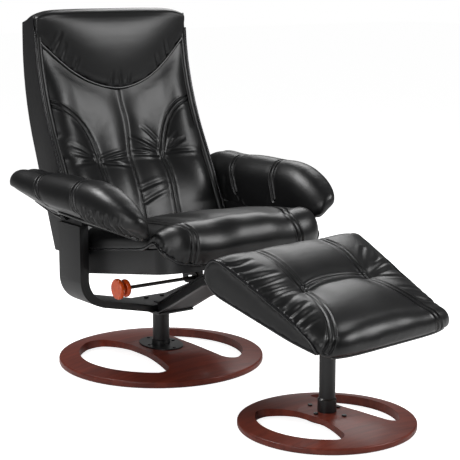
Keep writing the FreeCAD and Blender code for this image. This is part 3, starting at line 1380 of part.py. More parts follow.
doc.recompute()
for item in doc.Objects:
    if "Invalid" in item.State or "Error" in item.State:
        raise RuntimeError(f"{item.Label} failed: {item.State}")
os.makedirs("parts", exist_ok=True)
for item in nodes:
    if item.Shape.isNull() or not item.Shape.isValid():
        raise RuntimeError(f"{item.Label} has no valid shape")
    item.Shape.exportStep(f"parts/{item.Label}.step")
    box = item.Shape.BoundBox
    print(item.Label, len(item.Shape.Solids), round(item.Shape.Volume / 1000, 1), box)
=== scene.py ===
# %% [markdown]
# A swivel recliner and its footstool: black grained vinyl over foam, on stained wooden
# discs. The hard pieces arrive ready from the CAD frame and only need finishes. The
# upholstery is made here, one cushion at a time, because a sewn cover swells and creases
# in ways that a CAD solid does not hold.

# %% The frame and its box
import json
import math

import bmesh
import bpy
import numpy as np
from mathutils import Matrix, Vector
from mathutils.bvhtree import BVHTree
from mathutils.kdtree import KDTree

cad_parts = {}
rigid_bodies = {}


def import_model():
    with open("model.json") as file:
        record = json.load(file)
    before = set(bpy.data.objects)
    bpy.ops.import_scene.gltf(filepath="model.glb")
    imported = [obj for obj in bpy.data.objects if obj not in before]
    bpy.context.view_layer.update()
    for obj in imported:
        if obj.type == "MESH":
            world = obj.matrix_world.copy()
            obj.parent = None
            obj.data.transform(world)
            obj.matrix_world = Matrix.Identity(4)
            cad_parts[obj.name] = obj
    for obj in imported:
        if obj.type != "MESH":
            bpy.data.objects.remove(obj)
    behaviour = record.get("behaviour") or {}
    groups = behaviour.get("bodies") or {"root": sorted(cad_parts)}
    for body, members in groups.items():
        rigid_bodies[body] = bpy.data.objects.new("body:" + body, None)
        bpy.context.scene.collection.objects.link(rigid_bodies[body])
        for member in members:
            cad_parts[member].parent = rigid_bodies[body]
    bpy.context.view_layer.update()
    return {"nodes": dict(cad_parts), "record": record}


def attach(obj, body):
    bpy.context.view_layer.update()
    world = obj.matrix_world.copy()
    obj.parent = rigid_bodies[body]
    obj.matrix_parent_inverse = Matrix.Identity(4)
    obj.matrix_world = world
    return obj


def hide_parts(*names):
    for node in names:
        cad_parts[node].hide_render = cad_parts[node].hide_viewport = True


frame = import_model()
bpy.ops.object.select_all(action="DESELECT")
print("CAD nodes:", len(frame["nodes"]))

# %% [markdown]
# The camera stands at the chair's right front, a little above the arms, with a long lens.
# It could be placed by eye. Here its place and angle were worked out from the two round
# bases, which are circles on one floor, because that gives one measured answer.

# %% The camera
CAMERA_PLACE = (-2.2239, -3.3765, 1.1523)
CAMERA_TURN = -36.3
CAMERA_DIP = 10.613
CAMERA_LENS = 108.7
CAMERA_SENSOR = 36
bpy.ops.object.camera_add(
    location=CAMERA_PLACE,
    rotation=(math.radians(90 - CAMERA_DIP), 0, math.radians(CAMERA_TURN)),
)
camera = bpy.context.object
camera.data.lens = CAMERA_LENS
camera.data.sensor_width = CAMERA_SENSOR
bpy.context.scene.camera = camera
bpy.context.scene.view_settings.view_transform = "Standard"
print("camera lens in mm:", CAMERA_LENS)

# %% [markdown]
# A finish is a tree of nodes. Each node could be added, set and joined in lines of its
# own. One helper does all three instead, so that a finish reads as a short recipe.

# %% Tools: nodes


def add_node(tree, kind, inputs=(), **settings):
    """A node with its settings; an input is a plain value or another node's socket."""
    node = tree.nodes.new("ShaderNode" + kind)
    for name, value in settings.items():
        setattr(node, name, value)
    for name, source in dict(inputs).items():
        if isinstance(source, bpy.types.NodeSocket):
            tree.links.new(source, node.inputs[name])
        else:
            node.inputs[name].default_value = source
    return node


def maths(tree, operation, *sources):
    """Result of a Math node fed by sockets or plain numbers."""
    return add_node(tree, "Math", enumerate(sources), operation=operation).outputs[0]


def new_material(name):
    """A material with an empty node tree."""
    material = bpy.data.materials.new(name)
    material.use_nodes = True
    material.node_tree.nodes.clear()
    return material, material.node_tree


print("node tools ready")

# %% [markdown]
# The studio is one large floor under a white sky. More light could bleach the floor, but
# it would grey the black vinyl too. So the floor glows for the camera, and a little for
# reflections, and it still takes the soft shadow.

# %% Floor
STUDIO_WHITE = (0.86, 0.86, 0.86, 1)
FLOOR_SIZE = 40
FLOOR_HEIGHT = -0.0005
FLOOR_GLOW = 0.9
FLOOR_MIRRORED = 0.12


def studio_floor():
    """Diffuse pale floor that also glows for the camera and for reflections."""
    material, tree = new_material("studio_floor")
    path = add_node(tree, "LightPath").outputs
    seen = maths(tree, "MULTIPLY", path["Is Camera Ray"], FLOOR_GLOW)
    glow = maths(tree, "MULTIPLY_ADD", path["Is Glossy Ray"], FLOOR_MIRRORED, seen)
    diffuse = add_node(tree, "BsdfDiffuse", {"Color": STUDIO_WHITE}).outputs[0]
    shine = add_node(tree, "Emission", {"Strength": glow}).outputs[0]
    both = add_node(tree, "AddShader", {0: diffuse, 1: shine}).outputs[0]
    add_node(tree, "OutputMaterial", {"Surface": both})
    return material


bpy.ops.mesh.primitive_plane_add(size=FLOOR_SIZE, location=(0, 0, FLOOR_HEIGHT))
floor = bpy.context.object
floor.name = "studio_floor"
floor.data.materials.append(studio_floor())
print("floor width in m:", FLOOR_SIZE)

# %% Sky
SKY_WHITE = (1, 1, 1, 1)
SKY_STRENGTH = 0.13
world = bpy.data.worlds.new("studio_world")
bpy.context.scene.world = world
world.use_nodes = True
sky = world.node_tree
sky.nodes.clear()
sky_path = add_node(sky, "LightPath").outputs
sky_light = add_node(sky, "Background", {"Strength": SKY_STRENGTH}).outputs[0]
sky_white = add_node(sky, "Background", {"Color": SKY_WHITE}).outputs[0]
sky_mix = add_node(sky, "MixShader", {0: sky_path["Is Camera Ray"], 1: sky_light, 2: sky_white})
add_node(sky, "OutputWorld", {"Surface": sky_mix.outputs[0]})
print("sky strength:", SKY_STRENGTH)

# %% [markdown]
# Four soft boxes: the key on the right of the picture, a tall strip on its left, one high
# up behind on the left and a broad one behind for the rim. Small lamps would show as dots
# in the glossy vinyl. Large ones give the long highlights that draw its folds.

# %% Lamps
AIM = (0, -0.3, 0.5)


def softbox(name, place, width, height, power):
    """A rectangular lamp that looks at the chair."""
    bpy.ops.object.light_add(type="AREA", location=place)
    lamp = bpy.context.object
    lamp.name = name
    lamp.data.shape = "RECTANGLE"
    lamp.data.size = width
    lamp.data.size_y = height
    lamp.data.energy = power
    aim = Vector(AIM) - Vector(place)
    lamp.rotation_euler = aim.to_track_quat("-Z", "Y").to_euler()
    print("lamp:", name, power, "W")


softbox("key_lamp", (1.5, -2.1, 1.95), 1.3, 1.1, 42)
softbox("left_lamp", (-3.0, -1.5, 1.5), 0.8, 2.0, 30)
softbox("top_lamp", (-1.0, 0.8, 2.5), 0.8, 0.7, 38)
softbox("rim_lamp", (2.05, 1.85, 2.5), 1.7, 1.5, 31)

# %% [markdown]
# Two effects are shared by several finishes: the pebbled grain of vinyl, and a slow drift
# in tone and gloss that keeps a large surface from looking dead. They could be built
# again in every material. As node groups with inputs they are built once.

# %% Tools: node groups
FLOAT = "NodeSocketFloat"
VECTOR = "NodeSocketVector"


def group_tree(name, inputs, outputs):
    """A shader node group with named sockets; inputs are (name, kind, value)."""
    tree = bpy.data.node_groups.new(name, "ShaderNodeTree")
    for socket, kind, value in inputs:
        made = tree.interface.new_socket(socket, in_out="INPUT", socket_type=kind)
        made.default_value = value
    for socket in outputs:
        tree.interface.new_socket(socket, in_out="OUTPUT", socket_type=FLOAT)
    return tree, tree.nodes.new("NodeGroupInput").outputs, tree.nodes.new("NodeGroupOutput").inputs


def noise(tree, vector, scale, detail=3.0, roughness=0.55):
    """Noise texture; the scale is a number or a socket."""
    inputs = {"Vector": vector, "Scale": scale, "Detail": detail, "Roughness": roughness}
    return add_node(tree, "TexNoise", inputs).outputs["Fac"]


print("group tools ready")

# %% Pebbled grain
PEBBLE_EDGE = 0.22
PEBBLE_SHARE = 0.35
pebble, pebble_in, pebble_out = group_tree(
    "pebble_grain",
    [("Vector", VECTOR, (0, 0, 0)), ("Size", FLOAT, 700.0), ("Wrinkle", FLOAT, 60.0)],
    ["Height"],
)
cells = add_node(pebble, "TexVoronoi", {"Vector": pebble_in["Vector"], "Scale": pebble_in["Size"]},
                 feature="DISTANCE_TO_EDGE")
raised = add_node(pebble, "MapRange", {"Value": cells.outputs["Distance"], "From Max": PEBBLE_EDGE},
                  interpolation_type="SMOOTHSTEP")
fine = noise(pebble, pebble_in["Vector"], pebble_in["Wrinkle"], 6.0, 0.62)
height = maths(pebble, "MULTIPLY_ADD", raised.outputs["Result"], PEBBLE_SHARE, fine)
pebble.links.new(height, pebble_out["Height"])
print("shared effect:", pebble.name)

# %% Slow drift
GLOSS_SHIFT = (3.1, 1.7, 5.3)
drift, drift_in, drift_out = group_tree(
    "slow_drift",
    [("Vector", VECTOR, (0, 0, 0)), ("Size", FLOAT, 9.0)],
    ["Tone", "Gloss"],
)
tone = noise(drift, drift_in["Vector"], drift_in["Size"], 2.0)
shifted = add_node(drift, "VectorMath", {0: drift_in["Vector"], 1: GLOSS_SHIFT}).outputs[0]
gloss = noise(drift, shifted, drift_in["Size"], 4.0)
drift.links.new(tone, drift_out["Tone"])
drift.links.new(gloss, drift_out["Gloss"])
print("shared effect:", drift.name)

# %% [markdown]
# Every finish needs the same few steps: coordinates on the piece, a colour between two
# tones, a roughness in a range, a bump and a shader. They are small helpers here, so that
# each finish below differs only in its own numbers.

# %% Tools: finishes


def object_coords(tree, stretch=None):
    """Object coordinates, stretched along the axes if asked."""
    coords = add_node(tree, "TexCoord").outputs["Object"]
    if stretch is None:
        return coords
    return add_node(tree, "Mapping", {"Vector": coords, "Scale": stretch}).outputs["Vector"]


def use_group(tree, group, coords, **values):
    """Place a shared effect, feed it coordinates and set its numbers."""
    return add_node(tree, "Group", {"Vector": coords, **values}, node_tree=group).outputs


def two_tone(tree, value, dark, light):
    """Colour between two tones by a value."""
    ramp = add_node(tree, "ValToRGB", {"Fac": value})
    for element, colour in zip(ramp.color_ramp.elements, (dark, light)):
        element.color = (*colour, 1)
    return ramp.outputs["Color"]


def spread(tree, value, low, high):
    """Map 0..1 to low..high."""
    inputs = {"Value": value, "To Min": low, "To Max": high}
    return add_node(tree, "MapRange", inputs).outputs["Result"]


def bump(tree, height, strength, distance):
    """Bump from a height."""
    inputs = {"Height": height, "Strength": strength, "Distance": distance}
    return add_node(tree, "Bump", inputs).outputs["Normal"]


def surface(tree, inputs):
    """Principled shader with its inputs, joined to the material's output."""
    shader = add_node(tree, "BsdfPrincipled", inputs)
    add_node(tree, "OutputMaterial", {"Surface": shader.outputs[0]})


print("finish tools ready")

# %% Tools: coats


def coated(name, dark, light, rough, drift_size, relief):
    """A coat with drifting tone and gloss; relief makes its bump from a tree and coordinates."""
    material, tree = new_material(name)
    coords = object_coords(tree)
    slow = use_group(tree, drift, coords, Size=drift_size)
    surface(tree, {
        "Specular IOR Level": 0.5,
        "Base Color": two_tone(tree, slow["Tone"], dark, light),
        "Roughness": spread(tree, slow["Gloss"], *rough),
        "Normal": relief(tree, coords),
    })
    return material


print("coat tool ready")

# %% [markdown]
# The vinyl is nearly black, with a fine pebble and a half gloss. A photograph of leather
# could be wrapped round it, but a procedural grain has no seams and any scale. The welts
# are glossier where they are drawn tight, and the cradle's cover is a little duller.

# %% Vinyl
VINYL_DRIFT = 7.0
VINYL_WRINKLE = 75.0
GRAIN_HEIGHT = 0.0006


def vinyl(name, dark, light, rough, grain, size):
    """Grained vinyl; grain is the strength and size the fineness of its pebbles."""
    def relief(tree, coords):
        skin = use_group(tree, pebble, coords, Size=size, Wrinkle=VINYL_WRINKLE)
        return bump(tree, skin["Height"], grain, GRAIN_HEIGHT)

    return coated(name, dark, light, rough, VINYL_DRIFT, relief)


upholstery = vinyl("upholstery_vinyl", (0.0032, 0.0033, 0.0036), (0.0065, 0.0066, 0.007),
                   (0.32, 0.42), 0.1, 760.0)
cradle_skin = vinyl("cradle_vinyl", (0.004, 0.004, 0.0045), (0.008, 0.008, 0.0087),
                    (0.36, 0.48), 0.15, 620.0)
welt_vinyl = vinyl("welt_vinyl", (0.006, 0.006, 0.007), (0.012, 0.012, 0.013),
                   (0.2, 0.28), 0.06, 900.0)
print("vinyls:", upholstery.name, cradle_skin.name, welt_vinyl.name)

# %% [markdown]
# Posts, flanges and rails are sprayed steel, the cross plate is hammered grey and the
# hidden spindle and screws are bright zinc. Paint could be one flat colour; a slight
# orange peel breaks its highlights as on real spray. Rubber and bushes share the recipe.

# %% Paint, rubber, plastic and zinc
PAINT_DRIFT = 14.0
PEEL_HEIGHT = 0.0005
DRAWN_LINES = (40.0, 900.0, 900.0)


def painted(name, dark, light, rough, peel, size):
    """Sprayed coat with a slight orange peel."""
    def relief(tree, coords):
        return bump(tree, noise(tree, coords, size), peel, PEEL_HEIGHT)

    return coated(name, dark, light, rough, PAINT_DRIFT, relief)


def steel(name, dark, light, rough):
    """Bright metal with fine drawn lines."""
    material, tree = new_material(name)
    lines = noise(tree, object_coords(tree, DRAWN_LINES), 1.0, 2.0)
    surface(tree, {
        "Metallic": 1.0,
        "Base Color": two_tone(tree, lines, dark, light),
        "Roughness": spread(tree, lines, *rough),
    })
    return material


black_paint = painted("black_paint", (0.008, 0.008, 0.009), (0.016, 0.016, 0.017),
                      (0.26, 0.38), 0.12, 420.0)
hammered = painted("hammered_grey", (0.016, 0.016, 0.017), (0.036, 0.036, 0.038),
                   (0.4, 0.55), 0.5, 230.0)
rubber = painted("floor_rubber", (0.012, 0.012, 0.012), (0.022, 0.022, 0.022),
                 (0.7, 0.85), 0.3, 300.0)
bush_plastic = painted("bush_plastic", (0.62, 0.6, 0.55), (0.74, 0.72, 0.67),
                       (0.4, 0.5), 0.05, 200.0)
zinc = steel("bright_zinc", (0.42, 0.42, 0.43), (0.68, 0.68, 0.69), (0.22, 0.4))
print("hard finishes:", black_paint.name, hammered.name, rubber.name, bush_plastic.name, zinc.name)

# %% [markdown]
# The discs are cherry-stained and lacquered, the knob is a brighter gloss and the hidden
# frames are bare. Wave rings could draw the growth lines, but they look like a target on
# a disc, so noise stretched along the grain is used, with finer noise for the pores.

# %% Wood
PORES_PER_FIGURE = 14
PORE_SHARE = 0.28
STAIN_DRIFT = 5.0
STAIN_SHARE = 0.25
FIGURE_RANGE = (0.45, 0.95)
PORE_BUMP = (0.06, 0.0004)
LACQUER_ROUGHNESS = 0.12


def wood(name, dark, light, rough, figure, coat):
    """Stained wood: stretched figure, fine pores and a coat of lacquer."""
    material, tree = new_material(name)
    growth = noise(tree, object_coords(tree, figure), 1.0, 6.0, 0.6)
    pore_figure = tuple(scale * PORES_PER_FIGURE for scale in figure)
    pores = noise(tree, object_coords(tree, pore_figure), 1.0, 2.0)
    slow = use_group(tree, drift, object_coords(tree), Size=STAIN_DRIFT)
    mixed = maths(tree, "MULTIPLY_ADD", pores, PORE_SHARE, growth)
    stain = maths(tree, "MULTIPLY_ADD", slow["Tone"], STAIN_SHARE, mixed)
    low, high = FIGURE_RANGE
    shade = add_node(tree, "MapRange", {"Value": stain, "From Min": low, "From Max": high})
    surface(tree, {
        "Coat Weight": coat,
        "Coat Roughness": LACQUER_ROUGHNESS,
        "Specular IOR Level": 0.3,
        "Base Color": two_tone(tree, shade.outputs["Result"], dark, light),
        "Roughness": spread(tree, slow["Gloss"], *rough),
        "Normal": bump(tree, pores, *PORE_BUMP),
    })
    return material


cherry = wood("cherry_stain", (0.075, 0.012, 0.008), (0.2, 0.037, 0.021),
              (0.34, 0.46), (5.0, 55.0, 40.0), 0.05)
knob_lacquer = wood("knob_lacquer", (0.5, 0.042, 0.004), (0.78, 0.1, 0.01),
                    (0.14, 0.2), (30.0, 90.0, 90.0), 0.25)
bare_wood = wood("bare_frame_wood", (0.36, 0.24, 0.13), (0.58, 0.42, 0.25),
                 (0.6, 0.75), (6.0, 70.0, 70.0), 0.0)
print("woods:", cherry.name, knob_lacquer.name, bare_wood.name)

# %% [markdown]
# The straps and the dust cloth are woven. Threads could be modelled one by one, which is
# far too much for pieces inside the frames, so two crossed waves give their colour and bump.

# %% Woven straps and dust cloth
WEAVE_WANDER = 0.6
WEAVE_BUMP = (0.4, 0.0006)


def woven(name, dark, light, pitch):
    """Woven strap or cloth: two crossed waves."""
    material, tree = new_material(name)
    inputs = {"Vector": object_coords(tree), "Scale": pitch, "Distortion": WEAVE_WANDER}
    waves = [add_node(tree, "TexWave", inputs, bands_direction=direction).outputs["Fac"]
             for direction in ("X", "Y")]
    cloth = maths(tree, "MULTIPLY", *waves)
    surface(tree, {
        "Roughness": 0.85,
        "Specular IOR Level": 0.25,
        "Base Color": two_tone(tree, cloth, dark, light),
        "Normal": bump(tree, cloth, *WEAVE_BUMP),
    })
    return material


strap_weave = woven("strap_weave", (0.02, 0.02, 0.022), (0.07, 0.07, 0.075), 260.0)
dust_weave = woven("dust_cloth", (0.012, 0.012, 0.012), (0.035, 0.035, 0.036), 420.0)
print("weaves:", strap_weave.name, dust_weave.name)

# %% [markdown]
# Every CAD node carries the name of a material slot. Finishes could be given node by node;
# going by slot needs one table. Two nodes differ: the cradle's duller cover and the rod.

# %% Finishes on the CAD nodes
FINISHES = {
    "cherry_wood": cherry,
    "knob_wood": knob_lacquer,
    "frame_wood": bare_wood,
    "black_steel": black_paint,
    "grey_steel": hammered,
    "bright_steel": zinc,
    "black_vinyl": upholstery,
    "black_rubber": rubber,
    "bush_plastic": bush_plastic,
    "black_webbing": strap_weave,
    "dust_cloth": dust_weave,
}


def finish(piece, material):
    """Give a piece one finish."""
    piece.data.materials.clear()
    piece.data.materials.append(material)


for part in frame["record"]["subparts"]:
    finish(frame["nodes"][part["node"]], FINISHES[part["material_slot"]])
finish(frame["nodes"]["cradle_band"], cradle_skin)
finish(frame["nodes"]["knob_rod"], black_paint)
print("finishes:", len(FINISHES))

# %% [markdown]
# The upholstery. A cushion could be sculpted by hand, but then it would no longer fit its
# frame. So each one starts as a copy of its CAD solid, is shaped with operators and
# modifiers, and is finished point by point. These first tools select and modify.

# %% Tools: selecting and modifiers


def select_only(piece):
    """Make a piece the one selected and active object."""
    bpy.ops.object.select_all(action="DESELECT")
    piece.select_set(True)
    bpy.context.view_layer.objects.active = piece


def edit_all(operator, **settings):
    """Run an edit operator on all of the active piece."""
    bpy.ops.object.mode_set(mode="EDIT")
    bpy.ops.mesh.select_all(action="SELECT")
    operator(**settings)
    bpy.ops.object.mode_set(mode="OBJECT")


def edit_some(piece, kind, chosen):
    """Enter edit mode with only some of a piece's points (VERT) or faces (FACE) selected."""
    select_only(piece)
    bpy.ops.object.mode_set(mode="EDIT")
    bpy.ops.mesh.select_mode(type=kind)
    bpy.ops.mesh.select_all(action="DESELECT")
    bpy.ops.object.mode_set(mode="OBJECT")
    parts = piece.data.vertices if kind == "VERT" else piece.data.polygons
    parts.foreach_set("select", chosen)
    bpy.ops.object.mode_set(mode="EDIT")


def modify(piece, kind, **settings):
    """Add a modifier with its settings."""
    modifier = piece.modifiers.new(kind.lower(), kind)
    for name, value in settings.items():
        setattr(modifier, name, value)
    return modifier


def apply_modifiers(piece):
    """Turn a piece's modifiers into mesh, in their order."""
    select_only(piece)
    for name in [modifier.name for modifier in piece.modifiers]:
        bpy.ops.object.modifier_apply(modifier=name)


print("selecting tools ready")

# %% [markdown]
# Cloth is shaped point by point, which needs all points at once. Loops over vertices would
# be slow, so the points are read into arrays, worked on there and written back.

# %% Tools: points
SMOOTH_BACK = 1.04


def rows(parts, field):
    """A field of a mesh's points or faces as rows of x, y, z."""
    values = np.empty(len(parts) * 3)
    parts.foreach_get(field, values)
    return values.reshape(-1, 3)


def points_of(piece):
    """A piece's points."""
    return rows(piece.data.vertices, "co")


def normals_of(piece):
    """A piece's outward directions, one for each point."""
    return rows(piece.data.vertex_normals, "vector")


def set_points(piece, points):
    """Move a piece's points."""
    piece.data.vertices.foreach_set("co", points.ravel())
    piece.data.update()


def relax(piece, field, rounds):
    """Even out a field over a piece's neighbouring points."""
    ends = np.empty(len(piece.data.edges) * 2, int)
    piece.data.edges.foreach_get("vertices", ends)
    first, second = ends.reshape(-1, 2).T
    count = np.bincount(ends, minlength=len(field))[:, None]
    for _ in range(rounds):
        total = np.zeros_like(field)
        np.add.at(total, first, field[second])
        np.add.at(total, second, field[first])
        field = (field + total / count) / 2
    return field


def even_out(piece, points, rounds):
    """Smooth a piece without drawing it in."""
    for _ in range(rounds):
        drawn = relax(piece, points, 1)
        points = drawn + (drawn - relax(piece, drawn, 1)) * SMOOTH_BACK
    return points


def step_up(value, low, high):
    """Smooth step from 0 at low to 1 at high."""
    share = np.clip((value - low) / (high - low), 0, 1)
    return share * share * (3 - 2 * share)


print("point tools ready")

# %% [markdown]
# Seams, folds and piping all follow lines on a cushion. They could be drawn with a brush.
# Here a line is a smooth curve through a few points measured from the photograph and laid
# on the cushion's skin, so that it stays on the cushion when that changes.

# %% Tools: lines on a skin
CURVE_CUTS = 10
LAID_STEP = 0.012
LINE_STEP = 0.0015
CAST_FROM = 0.25


def smooth_line(points, step):
    """Smooth curve through points, cut into even steps."""
    points = np.asarray(points, float)
    ends = np.vstack([2 * points[0] - points[1], points, 2 * points[-1] - points[-2]])
    fine = []
    for before, start, stop, after in zip(ends, ends[1:], ends[2:], ends[3:]):
        for t in np.linspace(0, 1, CURVE_CUTS, endpoint=False):
            cubic = 3 * (start - stop) + after - before
            square = 2 * before - 5 * start + 4 * stop - after
            fine.append(start + 0.5 * t * (stop - before + t * (square + t * cubic)))
    fine = np.array(fine + [points[-1]])
    length = np.concatenate([[0], np.cumsum(np.linalg.norm(np.diff(fine, axis=0), axis=1))])
    at = np.linspace(0, length[-1], max(2, int(length[-1] / step) + 1))
    return np.stack([np.interp(at, length, fine[:, axis]) for axis in range(3)], axis=1)


def skin_of(piece):
    """Search tree of a piece's faces."""
    return BVHTree.FromObject(piece, bpy.context.evaluated_depsgraph_get())


def lay_on(skin, points, aim=None):
    """Points cast along a direction onto a skin, or moved to the nearest place on it."""
    laid = []
    for point in points:
        hit = None
        if aim is not None:
            hit = skin.ray_cast(Vector(point) - Vector(aim) * CAST_FROM, Vector(aim))[0]
        laid.append(hit or skin.find_nearest(point)[0])
    return np.array(laid)


def line_on(skin, points, aim=None):
    """Smooth line laid on a skin."""
    return smooth_line(lay_on(skin, smooth_line(points, LAID_STEP), aim), LINE_STEP)


def near_line(points, line, reach):
    """Numbers of the points close to a line, their distance and how far along it they lie."""
    tree = KDTree(len(line))
    for number, place in enumerate(line):
        tree.insert(place, number)
    tree.balance()
    inside = (points > line.min(axis=0) - reach) & (points < line.max(axis=0) + reach)
    close = np.flatnonzero(inside.all(axis=1))
    found = [tree.find(points[number]) for number in close]
    distance = np.array([hit[2] for hit in found])
    along = np.array([hit[1] for hit in found]) / (len(line) - 1)
    return close, distance, along


print("line tools ready")

# %% [markdown]
# A CAD mesh is long thin triangles, which cloth can't bend. A subdivided copy would keep
# their uneven shape, so the copy is remeshed into even faces. Faces near a seam are cut once
# more, because a groove needs points to press in.

# %% Tools: even meshes
MERGE = 0.00005


def copy_of(node, name):
    """A new piece with a merged copy of a CAD node's mesh."""
    piece = bpy.data.objects.new(name, frame["nodes"][node].data.copy())
    bpy.context.collection.objects.link(piece)
    select_only(piece)
    bpy.ops.mesh.customdata_custom_splitnormals_clear()
    edit_all(bpy.ops.mesh.remove_doubles, threshold=MERGE)
    return piece


def even_mesh(piece, voxel):
    """Even faces of one size, with steps smoothed off and loose crumbs removed."""
    modify(piece, "REMESH", mode="VOXEL", voxel_size=voxel, use_smooth_shade=True)
    modify(piece, "SMOOTH", factor=0.5, iterations=2)
    apply_modifiers(piece)
    points = points_of(piece)
    chosen = np.zeros(len(points), bool)
    chosen[np.argmin(np.linalg.norm(points - points.mean(axis=0), axis=1))] = True
    edit_some(piece, "VERT", chosen)
    bpy.ops.mesh.select_linked()
    bpy.ops.mesh.select_all(action="INVERT")
    bpy.ops.mesh.delete(type="VERT")
    bpy.ops.object.mode_set(mode="OBJECT")


def finer(piece):
    """One round of subdivision."""
    modify(piece, "SUBSURF", levels=1, render_levels=1)
    apply_modifiers(piece)


def finer_near(piece, lines, reach):
    """One more round of subdivision, only on the faces close to some lines."""
    centres = rows(piece.data.polygons, "center")
    chosen = np.zeros(len(centres), bool)
    for line in lines:
        close, distance, _ = near_line(centres, line, reach)
        chosen[close[distance < reach]] = True
    edit_some(piece, "FACE", chosen)
    bpy.ops.mesh.subdivide(number_cuts=1)
    bpy.ops.object.mode_set(mode="OBJECT")


print("remeshing tools ready")

# %% [markdown]
# A seam pulls the vinyl into a groove with a low lip on each side, and a pleat is a groove
# that fades out. A bump in the material could fake both, but not at the outline, so the
# points themselves are pressed in.

# %% Tools: seams and pleats
CREASE_REACH = 4
LIP_PLACE = 2
FADE_CURVE = 0.7
STITCH_WIDTH = 0.0026
STITCH_DEPTH = 0.0036


def crease(points, normals, line, width, depth, gap=0.0, fade=(0.0, 0.0), lip=0.35):
    """Press a groove along a line, or two beside it at a gap, faded out at its ends."""
    close, distance, along = near_line(points, line, gap + CREASE_REACH * width)
    if not len(close):
        return
    off = np.abs(distance - gap)
    groove = np.exp(-((off / width) ** 2))
    shape = groove - lip * np.exp(-(((off - LIP_PLACE * width) / width) ** 2))
    for share, reached in zip(fade, (along, 1 - along)):
        if share:
            shape = shape * np.clip(reached / share, 0, 1) ** FADE_CURVE
    points[close] -= normals[close] * (depth * shape)[:, None]


def stitch(points, normals, lines, gap, depth=STITCH_DEPTH):
    """Press the two grooves of a double seam along each line."""
    for line in lines:
        crease(points, normals, line, STITCH_WIDTH, depth, gap=gap)


print("seam tools ready")

# %% [markdown]
# Foam presses its cover outwards between the seams. An Inflate brush would swell it evenly;
# real cloth is taut at a seam and full between. So the cover is simulated: held at its seams
# and where it rests, filled with air for twenty frames and then kept as mesh.

# %% Tools: cloth
AIR_FRAMES = 20
CLOTH = {
    "quality": 5,
    "mass": 0.3,
    "tension_stiffness": 15,
    "compression_stiffness": 15,
    "bending_stiffness": 0.6,
    "vertex_group_mass": "held",
    "use_pressure": True,
    "uniform_pressure_force": 4.0,
}


def blow_up(piece, held):
    """Fill a piece with air as cloth, with some points held, and keep the result."""
    group = piece.vertex_groups.new(name="held")
    for level in (0.5, 1.0):
        chosen = np.flatnonzero(np.isclose(np.round(held * 2) / 2, level))
        group.add(chosen.tolist(), level, "REPLACE")
    cloth = modify(piece, "CLOTH")
    for name, value in CLOTH.items():
        setattr(cloth.settings, name, value)
    cloth.settings.effector_weights.gravity = 0
    cloth.collision_settings.use_collision = False
    cloth.point_cache.frame_end = AIR_FRAMES
    for number in range(1, AIR_FRAMES + 1):
        bpy.context.scene.frame_set(number)
    apply_modifiers(piece)
    bpy.context.scene.frame_set(1)
    piece.vertex_groups.clear()


print("frames of air:", AIR_FRAMES)

# %% [markdown]
# Every cushion is made in the same steps, so one function holds them. It is told where the
# cushion is held and how far it may swell. That limit keeps each point near its solid, so
# that the cushions stay clear of each other when the chair moves.

# %% Tools: cushions
DRAWN_IN = 0.003
SEAM_REACH = 0.04
SEAM_DEPTH = 0.004
SEAM_SPREAD = 0.012
SEAM_HELD = 0.006
SLIP = 0.006


def cushion(node, name, voxel, seams, rest, limit, tuck=None, soft=2, puff=0.002, calm=10):
    """A CAD cushion as cloth: even mesh, drawn in at the seams, blown up, kept in its limits."""
    piece = copy_of(node, name)
    solid = skin_of(piece)
    even_mesh(piece, voxel)
    set_points(piece, lay_on(solid, points_of(piece)))
    set_points(piece, even_out(piece, points_of(piece), soft))
    if tuck:
        set_points(piece, tuck(piece, points_of(piece)))
    form, out = points_of(piece), normals_of(piece)
    skin = skin_of(piece)
    loose = 1 - rest(form, out)
    held = 1 - loose
    start = form - out * (DRAWN_IN * loose)[:, None]
    for points, aim in seams:
        close, distance, _ = near_line(form, line_on(skin, points, aim), SEAM_REACH)
        pulled = SEAM_DEPTH * np.exp(-((distance / SEAM_SPREAD) ** 2))
        start[close] -= out[close] * pulled[:, None]
        held[close[distance < SEAM_HELD]] = 1
    set_points(piece, start)
    blow_up(piece, held)
    moved = relax(piece, points_of(piece) - form, calm)
    up = (moved * out).sum(axis=1)
    aside = moved - out * up[:, None]
    room = limit(form, out)
    up = np.where(up > 0, room * np.tanh(up / room), up) + puff * loose * room / room.max()
    aside *= np.minimum(1, SLIP / (np.linalg.norm(aside, axis=1) + 1e-9))[:, None]
    set_points(piece, form + out * up[:, None] + aside)
    finer(piece)
    return piece


def dress(piece, body, material, *nodes, fill=None):
    """Finish a soft piece, tie it to its body and let it stand for its CAD nodes."""
    select_only(piece)
    bpy.ops.object.shade_smooth()
    finish(piece, material)
    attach(piece, body)
    if nodes:
        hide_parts(*nodes)


print("cushion tools ready")

# %% [markdown]
# The back cushion: two double seams come in from the sides to a tuft each and run down to
# the seat, with one plain seam in the middle, and folds run between the tufts. The cloth
# alone would pucker in places of its own, so the folds are pressed in where they are seen.

# %% Back cushion: its seams and folds
MM = 0.001
AHEAD = (0, 1, 0)
BACK_SEAMS = (
    [(250, 761), (222, 757), (195, 749), (170, 728), (147, 699), (128, 661), (115, 628),
     (104, 599), (107, 566), (106, 522), (100, 468), (98, 400)],
    [(-250, 768), (-232, 764), (-206, 749), (-176, 726), (-149, 695), (-132, 657), (-124, 623),
     (-121, 598), (-121, 559), (-122, 513), (-121, 454), (-120, 400)],
)
BACK_MIDDLE = [(0, 812), (0, 782), (2, 744), (5, 707), (1, 662), (-8, 615), (-10, 568),
               (-12, 521), (-16, 468), (-18, 400)]
